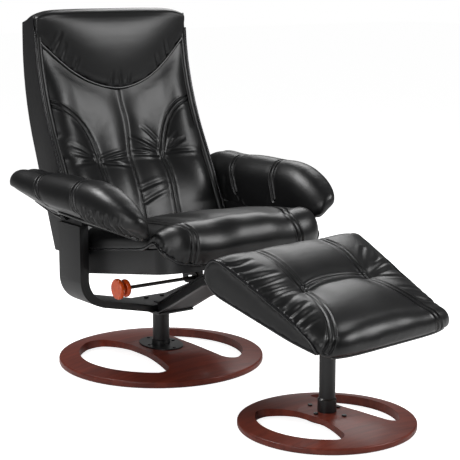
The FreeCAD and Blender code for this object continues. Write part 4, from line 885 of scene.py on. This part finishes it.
# From x and z, to x and z, width and depth, all in mm.
BACK_FOLDS = [
    (-108, 600, -19, 617, 4.5, 3.4), (-107, 593, -14, 602, 4.5, 3.2),
    (-107, 588, -16, 572, 4.5, 2.8), (91, 601, -4, 621, 4.5, 3.4),
    (90, 596, -2, 605, 4.5, 3.2), (91, 608, -3, 660, 5.0, 3.6),
    (92, 642, 42, 688, 5.0, 3.0), (119, 602, 214, 606, 5.0, 2.8),
    (120, 608, 188, 645, 5.0, 3.2), (122, 616, 168, 662, 5.0, 2.6),
    (-136, 601, -226, 630, 6.0, 3.0), (-138, 608, -224, 656, 6.0, 2.6),
    (-136, 594, -218, 596, 6.0, 2.2), (-5, 508, 88, 530, 6.0, 2.4),
    (-8, 470, 90, 503, 6.0, 2.4),
]


def on_back(points):
    """Points given as x and z in mm, to be cast onto the back from the front."""
    return np.array([(x * MM, 0, z * MM) for x, z in points])


back_seams = [(on_back(line), AHEAD) for line in BACK_SEAMS]
back_middle = on_back(BACK_MIDDLE)
print("back seams and folds:", len(BACK_SEAMS) + 1, len(BACK_FOLDS))

# %% [markdown]
# The cushion is held by its rear and its rim, and it swells in front. Its rim is spread out
# to the boxing, because the remesh thins it, and its top slips under the headrest, whose
# lower edge is a parabola.

# %% Back cushion: where it is held and free
SLAB_COUNT = 40
SLAB_HALF = 0.012
BACK_FLAT = 0.2
BACK_RIM = 0.24
BACK_RIM_WIDTH = 0.012
BOXING_REACH = 0.261
RIM_SUNK = 0.004
TOP_SUNK = 0.003
TOP_RAISED = 0.014
PILLOW_LOW = 0.803
PILLOW_RISE = 0.162
PILLOW_HALF = 0.266


def facing(normals, way, start, slope=4):
    """How far each point faces a way: 0 at a start, then rising by a slope."""
    return (normals @ np.array(way, float) - start) * slope


def slabs_along(points, axis):
    """Even stations along an axis, with the points near each."""
    place = points[:, axis]
    stations = np.linspace(place.min(), place.max(), SLAB_COUNT)
    return stations, [points[np.abs(place - station) < SLAB_HALF] for station in stations]


def back_rest(points, normals):
    """Held where the back faces rearwards or sideways."""
    rim = np.clip((np.abs(points[:, 0]) - BACK_RIM) / BACK_RIM_WIDTH, 0, 1)
    return np.clip(facing(normals, AHEAD, -0.25, slope=3) + rim, 0, 1)


def back_room(points, normals):
    """Free to swell in front, tight at the sides and top."""
    return 0.0015 + 0.0065 * step_up(-normals[:, 1], 0.2, 0.7)


def pillow_edge(x):
    """Height in metres of the headrest's lower edge at x metres."""
    return PILLOW_LOW + PILLOW_RISE * (x / PILLOW_HALF) ** 2


def back_tuck(piece, points):
    """Spread the rim out to the boxing and slip the top under the headrest."""
    stations, slabs = slabs_along(points, 2)
    widest = [np.sort(np.abs(slab[:, 0]))[-8:].mean() for slab in slabs]
    reach = np.interp(points[:, 2], stations, widest)
    wide = step_up(np.abs(points[:, 0]), BACK_FLAT, reach)
    top = step_up(points[:, 2] - pillow_edge(points[:, 0]), -0.03, 0)
    aside = np.sign(points[:, 0]) * (BOXING_REACH - reach) * wide
    sunk = TOP_SUNK * top - RIM_SUNK * wide
    return points + np.stack([aside, sunk, TOP_RAISED * top], axis=1)


print("headrest's lowest point:", pillow_edge(0))

# %% [markdown]
# Now the cushion is blown up. Its lines are laid on the finished skin, the faces near them
# are cut finer, and then the seams and the folds are pressed in.

# %% Back cushion: made
FOLD_BOW = 3
back = cushion("back_cushion", "back_padding", voxel=0.0075,
               seams=back_seams + [(back_middle, AHEAD)],
               rest=back_rest, limit=back_room, tuck=back_tuck)
skin = skin_of(back)
back_lines = [line_on(skin, *seam) for seam in back_seams]
middle_line = line_on(skin, back_middle, AHEAD)
back_folds = []
for x_from, z_from, x_to, z_to, width, depth in BACK_FOLDS:
    bow = ((x_from + x_to) / 2, (z_from + z_to) / 2 + FOLD_BOW)
    fold = line_on(skin, on_back([(x_from, z_from), bow, (x_to, z_to)]), AHEAD)
    back_folds.append((fold, width * MM, depth * MM))
finer_near(back, back_lines + [middle_line] + [fold for fold, _, _ in back_folds], reach=0.012)
points, normals = points_of(back), normals_of(back)
stitch(points, normals, back_lines, gap=0.0068)
crease(points, normals, middle_line, STITCH_WIDTH, depth=0.003)
for line, width, depth in back_folds:
    crease(points, normals, line, width, depth, fade=(0, 0.6))
set_points(back, points)
dress(back, "back", upholstery, "back_cushion", fill=0.75)
print("back cushion points:", len(points))

# %% [markdown]
# Piping is a strip of vinyl sewn round a cord. A bevelled curve is such a cord: it only needs
# a line. Where a line runs along an edge, it is found on the mesh, because the edge of a
# blown-up cushion is no longer where the CAD solid has it.

# %% Tools: piping
RIM_HALF = 0.006
RIM_POINTS = 6
RIM_STEP = 0.003
CORD_RESOLUTION = 2


def rim_of(points, stations, axis, way):
    """Line along an edge: at each station the points that lie furthest in a direction."""
    reached = points @ np.array(way, float)
    line = []
    for station in stations:
        slab = np.flatnonzero(np.abs(points @ np.array(axis, float) - station) < RIM_HALF)
        best = slab[np.argsort(reached[slab])[-RIM_POINTS:]]
        line.append(points[best].mean(axis=0))
    line = np.array(line)
    for _ in range(3):
        line[1:-1] = (line[:-2] + 2 * line[1:-1] + line[2:]) / 4
    return smooth_line(line, RIM_STEP)


def tube(name, body, line, radius, material=welt_vinyl):
    """Round cord of piping along a line."""
    data = bpy.data.curves.new(name, "CURVE")
    data.dimensions = "3D"
    data.bevel_depth = radius
    data.bevel_resolution = CORD_RESOLUTION
    data.use_fill_caps = True
    spline = data.splines.new("POLY")
    spline.points.add(len(line) - 1)
    for point, place in zip(spline.points, line):
        point.co = (*place, 1)
    piece = bpy.data.objects.new(name, data)
    bpy.context.collection.objects.link(piece)
    select_only(piece)
    bpy.ops.object.convert(target="MESH")
    dress(bpy.context.object, body, material)


print("piping tools ready")

# %% [markdown]
# The headrest: one smooth pillow whose lower edge hangs in a rounded point over the back
# cushion. It could be part of that cushion, but the two are sewn apart, and the piping
# between them throws a line of shadow. A few small puckers stand above the piping.

# %% Headrest pillow: where it is held and free
PILLOW_HANG = 0.008
PILLOW_OUT = 0.003
PILLOW_WIDER = 0.004


def pillow_tuck(piece, points):
    """Let the lower edge hang over the back cushion and the ends reach the boxing."""
    edge = 1 - step_up(points[:, 2] - pillow_edge(points[:, 0]), 0, 0.03)
    aside = np.sign(points[:, 0]) * PILLOW_WIDER * step_up(np.abs(points[:, 0]), 0.235, 0.257)
    return points + np.stack([aside, -PILLOW_OUT * edge, -PILLOW_HANG * edge], axis=1)


def pillow_rest(points, normals):
    """Held where the pillow lies on the back."""
    return np.clip(facing(normals, AHEAD, 0.1), 0, 1)


def pillow_room(points, normals):
    """Free to swell in front and on top, less at the ends."""
    return 0.006 - 0.004 * step_up(np.abs(normals[:, 0]), 0.4, 0.85)


pillow = cushion("headrest_pillow", "headrest_padding", voxel=0.006, seams=[],
                 rest=pillow_rest, limit=pillow_room, tuck=pillow_tuck, soft=4, puff=0.004)
print("headrest faces:", len(pillow.data.polygons))

# %% Headrest pillow: its puckers and piping
# Each pucker's x in mm, its lean and its length.
PUCKERS = ((-28, 0.1, 0.045), (6, -0.15, 0.055), (34, 0.1, 0.04), (-150, 0.35, 0.04),
           (-190, 0.3, 0.05), (-214, 0.5, 0.06), (150, -0.35, 0.04), (188, -0.3, 0.05))
PUCKER_FOOT = 0.008
PILLOW_END = np.array((0.006, 0.004, 0.02))
skin = skin_of(pillow)
points, normals = points_of(pillow), normals_of(pillow)
edge_line = rim_of(points, np.linspace(-0.25, 0.25, 21), (1, 0, 0), (0, -0.35, -0.94))
crease(points, normals, edge_line, width=0.007, depth=0.003, lip=0.2)
for x, lean, size in PUCKERS:
    foot = np.array((x * MM, 0, pillow_edge(x * MM) + PUCKER_FOOT))
    top = foot + (lean * size, 0, size)
    pucker = line_on(skin, [foot, (foot + top) / 2, top], AHEAD)
    crease(points, normals, pucker, width=0.005, depth=0.003, fade=(0, 0.7))
set_points(pillow, points)
dress(pillow, "back", upholstery, "headrest_pillow", fill=0.85)
ends = edge_line[0] + PILLOW_END * (-1, 1, 1), edge_line[-1] + PILLOW_END
welt = smooth_line(np.vstack([ends[0], edge_line[::12], edge_line[-1], ends[1]]), 0.004)
tube("headrest_piping", "back", welt, radius=0.005)
print("headrest points:", len(points))

# %% [markdown]
# The seat cushion is given in the tilted frame of the seat box, where its lines are simple
# to measure. Two double seams run forward, swing in and go down the rounded nose. A welt
# closes each side and ends in gathers, where the cover turns under.

# %% Seat cushion: its seams and welts
SIDES = (("left", 1), ("right", -1))
SEAT = Matrix.Translation((0, 0, 0.299)) @ Matrix.Rotation(math.radians(-9.3), 4, "X")
SEAT_SEAMS = (
    [(205, -60, 116), (205, -150, 122), (203, -280, 126), (186, -370, 127), (146, -432, 126),
     (138, -462, 116), (140, -481, 95), (145, -487, 74), (152, -485, 45), (154, -470, 22)],
    [(-205, -60, 116), (-205, -150, 122), (-208, -280, 126), (-212, -370, 129),
     (-209, -432, 129), (-199, -458, 118), (-194, -474, 98), (-197, -481, 72),
     (-199, -477, 48), (-198, -465, 24)],
)
SEAT_WELT = [(257, -40, 67), (258, -150, 67), (258, -290, 67), (259, -345, 73), (262, -385, 84),
             (262, -406, 71), (257, -430, 54), (242, -442, 37), (221, -446, 21),
             (199, -453, 13), (167, -455, 7)]


def in_frame(matrix, points):
    """Points given in mm in a tilted frame, as metres in the row frame."""
    return np.array([matrix @ Vector(point) for point in np.asarray(points, float) * MM])


def both_sides(points):
    """The same points on the left and mirrored to the right."""
    points = np.asarray(points, float)
    return points, points * (-1, 1, 1)


seat_seams = [(in_frame(SEAT, line), None) for line in SEAT_SEAMS]
seat_welts = [in_frame(SEAT, line) for line in both_sides(SEAT_WELT)]
print("seat seams and welts:", len(seat_seams), len(seat_welts))

# %% Seat cushion: where it is held and free
seat_up = np.array(SEAT.to_3x3() @ Vector((0, 0, 1)))


def seat_rest(points, normals):
    """Held underneath and at the rear."""
    rear = normals[:, 1] > 0.6
    return np.clip(facing(normals, -seat_up, 0.2) + rear * 1.0, 0, 1)


def seat_room(points, normals):
    """Free to swell on top and in front, tight at the sides."""
    return 0.007 - 0.005 * step_up(np.abs(normals[:, 0]), 0.4, 0.85)


seat = cushion("seat_cushion", "seat_padding", voxel=0.007, seams=seat_seams,
               rest=seat_rest, limit=seat_room, soft=3, puff=0.003, calm=30)
print("seat faces:", len(seat.data.polygons))

# %% [markdown]
# Gathers are short pleats side by side. Equal pleats would look like a comb, and random ones
# would change with each draw, so sines make them uneven in the same way on every run.

# %% Seat cushion: its gathers and piping


def gathers(skin, line, away, pitch, length, lean=0.25):
    """Short pleats that leave a line at uneven steps, in a direction given."""
    lines = []
    run = np.linalg.norm(np.diff(line, axis=0), axis=1).sum()
    count = max(2, int(run / pitch))
    for number in range(count):
        at = int((number + 0.5 + 0.33 * math.sin(number * 2.4)) / count * (len(line) - 1))
        place, nearby = line[at], line[min(len(line) - 1, at + 5)]
        along = (nearby - place) / (np.linalg.norm(nearby - place) + 1e-9)
        way = np.array(away, float) + along * lean * math.sin(number * 1.7)
        reach = length * (0.6 + 0.6 * math.sin(number * 3.1) ** 2)
        lines.append(line_on(skin, [place, place + way * reach / 2, place + way * reach]))
    return lines


skin = skin_of(seat)
seat_lines = [line_on(skin, seam) for seam, _ in seat_seams]
welt_lines = [line_on(skin, welt) for welt in seat_welts]
finer_near(seat, seat_lines, reach=0.016)
points, normals = points_of(seat), normals_of(seat)
stitch(points, normals, seat_lines, gap=0.0072)
for line in welt_lines:
    front = line[len(line) * 3 // 5:]
    for pleat in gathers(skin, front, (0, -0.35, 0.9), pitch=0.017, length=0.035):
        crease(points, normals, pleat, width=0.004, depth=0.002, fade=(0, 0.8))
set_points(seat, points)
dress(seat, "seat", upholstery, "seat_cushion", fill=0.8)
for (name, _), line in zip(SIDES, welt_lines):
    tube(f"{name}_seat_piping", "seat", line[::3], radius=0.005)
print("seat points:", len(points))

# %% [markdown]
# The arms are padded rolls with two double seams round them and a full, gathered front end.
# One arm could be made and mirrored. Both are made in one loop instead, each from its own
# solid, so that each stays inside its own limits.

# %% Arms: where they are held and free
ARM_ROUNDED = (0.08, 0.2)
ARM_FRONT = (-0.02, 0.36)
ARM_TIP = (0.28, 0.385)
ARM_PUSHED = 0.016
ARM_RAISED = 0.034


def round_off(piece, points, rounds, share):
    """Points drawn towards their neighbours, each by its own share."""
    return points + (relax(piece, points, rounds) - points) * share[:, None]


def arm_rest(points, normals):
    """Held underneath."""
    return np.clip(facing(normals, (0, 0, -1), 0.35), 0, 1)


def arm_room(points, normals):
    """Free to swell on top and outside, tight beside the seat."""
    return 0.0015 + 0.0045 * step_up(normals[:, 0] * np.sign(points[:, 0]), -0.9, 0.1)


def arm_tuck(piece, points):
    """Round off the front of the roll and fill it out, most at its crest."""
    points = round_off(piece, points, 24, step_up(-points[:, 1], *ARM_ROUNDED))
    stations, slabs = slabs_along(points, 1)
    low = np.interp(points[:, 1], stations, [slab[:, 2].min() for slab in slabs])
    high = np.interp(points[:, 1], stations, [slab[:, 2].max() for slab in slabs])
    share = np.clip((points[:, 2] - low) / (high - low + 1e-6), 0, 1)
    forward = -ARM_PUSHED * step_up(-points[:, 1], *ARM_TIP) * np.sqrt(share)
    upward = ARM_RAISED * step_up(-points[:, 1], *ARM_FRONT) * share
    return points + np.stack([0 * share, forward, upward], axis=1)


print("arms are rounded in front of y:", -ARM_ROUNDED[0])

# %% Arms: their seams and pleats
ARM_CREST = 0.56
ARM_MIDDLE = (0.333, 0.53)
ARM_RADII = (0.08, 0.075)
OUTSIDE_ARM = 0.4
ARM_SEAMS = ((0.042, -0.03), (-0.16, -0.02))
PLEAT_PLACES = np.linspace(-0.2, -0.368, 13)


def round_arm(side, place, lean):
    """Points of a seam round an arm, at a place on the crest and leaning down the sides."""
    ring = []
    for angle in range(-35, 216, 10):
        across, up = math.cos(math.radians(angle)), math.sin(math.radians(angle))
        ring.append((side * (ARM_MIDDLE[0] + ARM_RADII[0] * across), place + lean * (1 - up),
                     ARM_MIDDLE[1] + ARM_RADII[1] * up))
    return np.array(ring)


def arm_pleats(skin, side, lower):
    """Pleats on the outer face near the front, from the piping part of the way up."""
    pleats = []
    for number, place in enumerate(PLEAT_PLACES):
        foot = np.interp(-place, -lower[:, 1], lower[:, 2])
        rise = (ARM_CREST - foot) * (0.34 + 0.3 * math.sin(number * 2.3) ** 2)
        lean = 0.012 * math.sin(number * 1.7)
        stops = [(side * OUTSIDE_ARM, place + lean * share, foot + 0.003 + rise * share)
                 for share in (0, 0.5, 1)]
        pleats.append(line_on(skin, stops, (-side, 0, 0)))
    return pleats


print("seams and pleats on each arm:", len(ARM_SEAMS), len(PLEAT_PLACES))

# %% Arms: made
for name, side in SIDES:
    arm_seams = [(round_arm(side, place, lean), None) for place, lean in ARM_SEAMS]
    arm = cushion(f"{name}_arm_pad", f"{name}_arm_padding", voxel=0.006, seams=arm_seams,
                  rest=arm_rest, limit=arm_room, tuck=arm_tuck, soft=2, puff=0.008)
    skin = skin_of(arm)
    arm_lines = [line_on(skin, seam) for seam, _ in arm_seams]
    lower = rim_of(points_of(arm), np.linspace(0.185, -0.366, 24), (0, 1, 0),
                   (side * 0.5, 0, -0.87))
    pleats = arm_pleats(skin, side, lower)
    finer_near(arm, arm_lines + pleats, reach=0.014)
    points, normals = points_of(arm), normals_of(arm)
    stitch(points, normals, arm_lines, gap=0.0068)
    for line in pleats:
        crease(points, normals, line, width=0.0046, depth=0.0062, fade=(0, 0.6), lip=0.55)
    tube(f"{name}_arm_piping", "swivel_frame", lower + (side * 0.002, 0, -0.001), radius=0.0052)
    set_points(arm, points)
    dress(arm, "swivel_frame", upholstery, f"{name}_arm_pad", fill=0.8)
    print(name, "arm points:", len(points))

# %% [markdown]
# The footstool cushion in its own tilted frame: a wedge with flat side panels. Two double
# seams run from end to end, drawn in at a tuft each, with a cross seam between the tufts.
# The top is gathered into the piping of the side panels, and folds fan out to the tufts.
# A box with rounded edges could stand for it, but the drawn-in top is what is seen most.

# %% Footstool: its seams and folds
STOOL = (Matrix.Translation((0, -0.769, 0.316)) @ Matrix.Rotation(math.radians(6.5), 4, "Z")
         @ Matrix.Rotation(math.radians(16.5), 4, "X"))
STOOL_SEAMS = (
    [(116, 196, 84), (114, 165, 97), (121, 125, 99), (117, 78, 96), (111, 34, 87), (113, -4, 71),
     (116, -57, 75), (122, -110, 77), (133, -152, 71), (140, -200, 66), (150, -226, 45),
     (160, -228, 22)],
    [(-130, 196, 82), (-122, 169, 95), (-116, 135, 99), (-116, 95, 98), (-117, 61, 93),
     (-118, 23, 83), (-115, -3, 72), (-126, -47, 74), (-144, -94, 77), (-160, -135, 73),
     (-179, -166, 65), (-205, -197, 55), (-217, -207, 36), (-222, -205, 22)],
)
STOOL_CROSS = [(-115, -3, 73), (-83, 4, 79), (-38, 7, 82), (13, 7, 82), (58, 2, 80),
               (113, -4, 71)]
STOOL_WELT = [(258, 214, 34), (258, 208, 58), (258, 194, 78), (257, 170, 87), (254, 132, 84),
              (251, 82, 77), (248, 33, 70), (243, -7, 63), (242, -57, 55), (240, -99, 46),
              (238, -130, 35), (236, -161, 25), (234, -181, 12), (230, -194, 2)]
STOOL_FOLDS = [
    [(-253, 109, 85), (-221, 94, 92), (-167, 92, 97)],
    [(-251, 77, 79), (-210, 62, 89), (-145, 57, 92)],
    [(-249, 45, 71), (-208, 32, 85), (-130, 40, 88)],
    [(-247, 23, 70), (-200, 8, 81), (-132, 10, 79)],
    [(-241, -11, 62), (-200, -12, 76), (-128, -2, 74)],
    [(-240, -48, 58), (-207, -45, 73), (-135, -21, 70)],
    [(-240, -79, 52), (-211, -80, 68), (-161, -69, 77)],
    [(-238, -103, 48), (-211, -105, 65), (-169, -101, 76)],
    [(-238, -129, 39), (-216, -130, 58), (-180, -132, 70)],
    [(-255, 139, 87), (-224, 124, 94), (-171, 127, 99)],
    [(200, 96, 94), (150, 50, 90), (116, 2, 74)],
    [(240, 30, 72), (177, 10, 81), (120, -3, 72)],
    [(240, -62, 60), (171, -42, 77), (124, -10, 71)],
    [(240, -118, 48), (179, -108, 73), (135, -90, 77)],
    [(232, -160, 36), (176, -160, 66), (143, -138, 73)],
    [(244, 84, 80), (200, 40, 85), (128, 4, 76)],
]
stool_seams = [(in_frame(STOOL, line), None) for line in STOOL_SEAMS]
stool_cross = in_frame(STOOL, STOOL_CROSS)
stool_welts = [in_frame(STOOL, line) for line in both_sides(STOOL_WELT)]
print("footstool seams and folds:", len(STOOL_SEAMS) + 1, len(STOOL_FOLDS))

# %% Footstool: where it is held and free
stool_axes = np.array(STOOL.to_3x3())
stool_place = np.array(STOOL.translation)


def in_stool(points):
    """Points in the footstool's own frame."""
    return (points - stool_place) @ stool_axes


def stool_tuck(piece, points):
    """Round the ridge where the top turns down into the nose, less at its corners."""
    across, along, _ = in_stool(points).T
    ridge = np.exp(-(((along + 0.19) / 0.05) ** 2))
    return round_off(piece, points, 30, ridge * (1 - 0.4 * step_up(np.abs(across), 0.17, 0.215)))


def stool_rest(points, normals):
    """Held underneath and half held on the side panels."""
    panels = np.abs(normals @ stool_axes[:, 0]) > 0.92
    return np.clip(facing(normals, -stool_axes[:, 2], 0.3) + panels * 0.5, 0, 1)


def stool_room(points, normals):
    """Free to swell on top, a little at the sides."""
    return 0.007 - 0.003 * step_up(np.abs(normals @ stool_axes[:, 0]), 0.5, 0.9)


stool = cushion("footstool_cushion", "footstool_padding", voxel=0.007,
                seams=stool_seams + [(line, None) for line in [stool_cross] + stool_welts],
                rest=stool_rest, limit=stool_room, tuck=stool_tuck, soft=3, puff=0.004, calm=20)
print("footstool faces:", len(stool.data.polygons))

# %% Footstool: its folds and gathers
skin = skin_of(stool)
stool_lines = [line_on(skin, seam) for seam, _ in stool_seams]
cross_line = line_on(skin, stool_cross)
stool_folds = [line_on(skin, in_frame(STOOL, fold)) for fold in STOOL_FOLDS]
finer_near(stool, stool_lines + [cross_line] + stool_folds, reach=0.014)
points, normals = points_of(stool), normals_of(stool)
stitch(points, normals, stool_lines, gap=0.0075, depth=0.0038)
crease(points, normals, cross_line, width=0.0032, depth=0.0032)
for number, line in enumerate(stool_folds):
    depth = 0.0014 + 0.0016 * math.sin(number * 1.9) ** 2
    crease(points, normals, line, width=0.0062, depth=depth, fade=(0.1, 0.5))
for (name, side), welt in zip(SIDES, stool_welts):
    welt_line = line_on(skin, welt)
    inward = -side * stool_axes[:, 0] * 0.8 + stool_axes[:, 2] * 0.6
    front = welt_line[len(welt_line) // 5:]
    for line in gathers(skin, front, inward, pitch=0.022, length=0.025):
        crease(points, normals, line, width=0.004, depth=0.0016, fade=(0, 0.9))
    tube(f"{name}_stool_piping", "footstool", welt_line[::3], radius=0.0045)
print("footstool points:", len(points))

# %% [markdown]
# A hem closes the cushion below, along the nose and both side panels. The panels' lower
# edge comes out of the remesh a little wavy, and a cord along it is also how it is sewn.

# %% Footstool: its hems, and made
local = in_stool(points)
hems = {"nose": rim_of(local, np.linspace(-0.21, 0.21, 22), (1, 0, 0), (0, -0.6, -0.8))}
for name, side in SIDES:
    hems[name] = rim_of(local, np.linspace(-0.185, 0.2, 20), (0, 1, 0), (side * 0.7, 0, -0.7))
for name, hem in hems.items():
    tube(f"{name}_stool_hem", "footstool", hem @ stool_axes.T + stool_place, radius=0.0048)
set_points(stool, points)
dress(stool, "footstool", upholstery, "footstool_cushion", fill=0.8)
print("hems:", ", ".join(hems))

# %% [markdown]
# The covers: the back's boxing, the seat box and the wrapped cradle are thin skins drawn
# tight over wood. Cloth would add nothing to them, so they keep their CAD shape and a bevel
# softens their outer edges. The boxing's rear top is raised to meet the headrest, and the
# foot of each upright's cover is blended onto the cradle's band.

# %% Tools: covers
FLAT_ANGLE = math.radians(2)
SHARP_ANGLE = math.radians(35)
SHADE_ANGLE = math.radians(32)
WIDE_FACE = 0.0012


def soft_edges(node, name, body, width):
    """A CAD cover with its outer edges rounded; thin rims are left alone."""
    piece = copy_of(node, name)
    edit_all(bpy.ops.mesh.dissolve_limited, angle_limit=FLAT_ANGLE)
    shape = bmesh.new()
    shape.from_mesh(piece.data)
    weight = shape.edges.layers.float.new("bevel_weight_edge")
    for edge in shape.edges:
        faces = edge.link_faces
        wide = len(faces) == 2 and min(face.calc_area() for face in faces) > WIDE_FACE
        if wide and edge.is_convex and edge.calc_face_angle() > SHARP_ANGLE:
            edge[weight] = 1.0
    shape.to_mesh(piece.data)
    shape.free()
    modify(piece, "BEVEL", limit_method="WEIGHT", width=width, segments=4)
    apply_modifiers(piece)
    dress(piece, body, cradle_skin, node)
    bpy.ops.object.shade_smooth_by_angle(angle=SHADE_ANGLE)
    print("cover:", name)
    return piece


print("cover tools ready")

# %% Boxing, seat box and cradle
BOXING_RAISED = 0.02
FOOT_BLEND = 0.06
FOOT_SHARE = 0.9
boxing = soft_edges("back_cover", "back_boxing", "back", 0.009)
points = points_of(boxing)
rear_top = step_up(points[:, 2], 0.9, 0.99) * step_up(points[:, 1], 0.15, 0.25)
points[:, 2] += BOXING_RAISED * rear_top
set_points(boxing, points)
soft_edges("seat_cover", "seat_box_cover", "seat", 0.005)
band_skin = skin_of(soft_edges("cradle_band", "cradle_wrap", "swivel_frame", 0.005))
for name, _ in SIDES:
    cover = soft_edges(f"{name}_band_cover", f"{name}_upright_cover", "swivel_frame", 0.004)
    points = points_of(cover)
    inner = np.abs(points[:, 0]).min()
    fade = 1 - step_up(np.abs(points[:, 0]), inner, inner + FOOT_BLEND)
    band_place = lay_on(band_skin, points)
    set_points(cover, points + (band_place - points) * (FOOT_SHARE * fade)[:, None])

# %% [markdown]
# A welt runs up each side of the back, where the boxing meets the cushion. The cushion's
# rim is thin there, so a fatter roll of the same vinyl fills the joint beside the welt, as
# the padded edge of the real one does. It ends where the headrest covers the joint.

# %% Back piping and edge rolls
BACK_WELT = (352, 420, 500, 580, 650, 720, 800, 880, 940, 975)
BACK_WELT_X = 263.7
ROLL_TOP = pillow_edge(0.2515) + 0.01
skin = skin_of(boxing)
for name, side in SIDES:
    edge = line_on(skin, on_back([(side * BACK_WELT_X, z) for z in BACK_WELT]), AHEAD)[::3]
    tube(f"{name}_back_piping", "back", edge + (side * 0.0005, -0.003, 0), radius=0.005)
    roll = edge[edge[:, 2] < ROLL_TOP] + (side * -0.0122, 0.001, 0)
    tube(f"{name}_back_roll", "back", roll, radius=0.0108, material=upholstery)
    print(name, "back piping points:", len(edge))
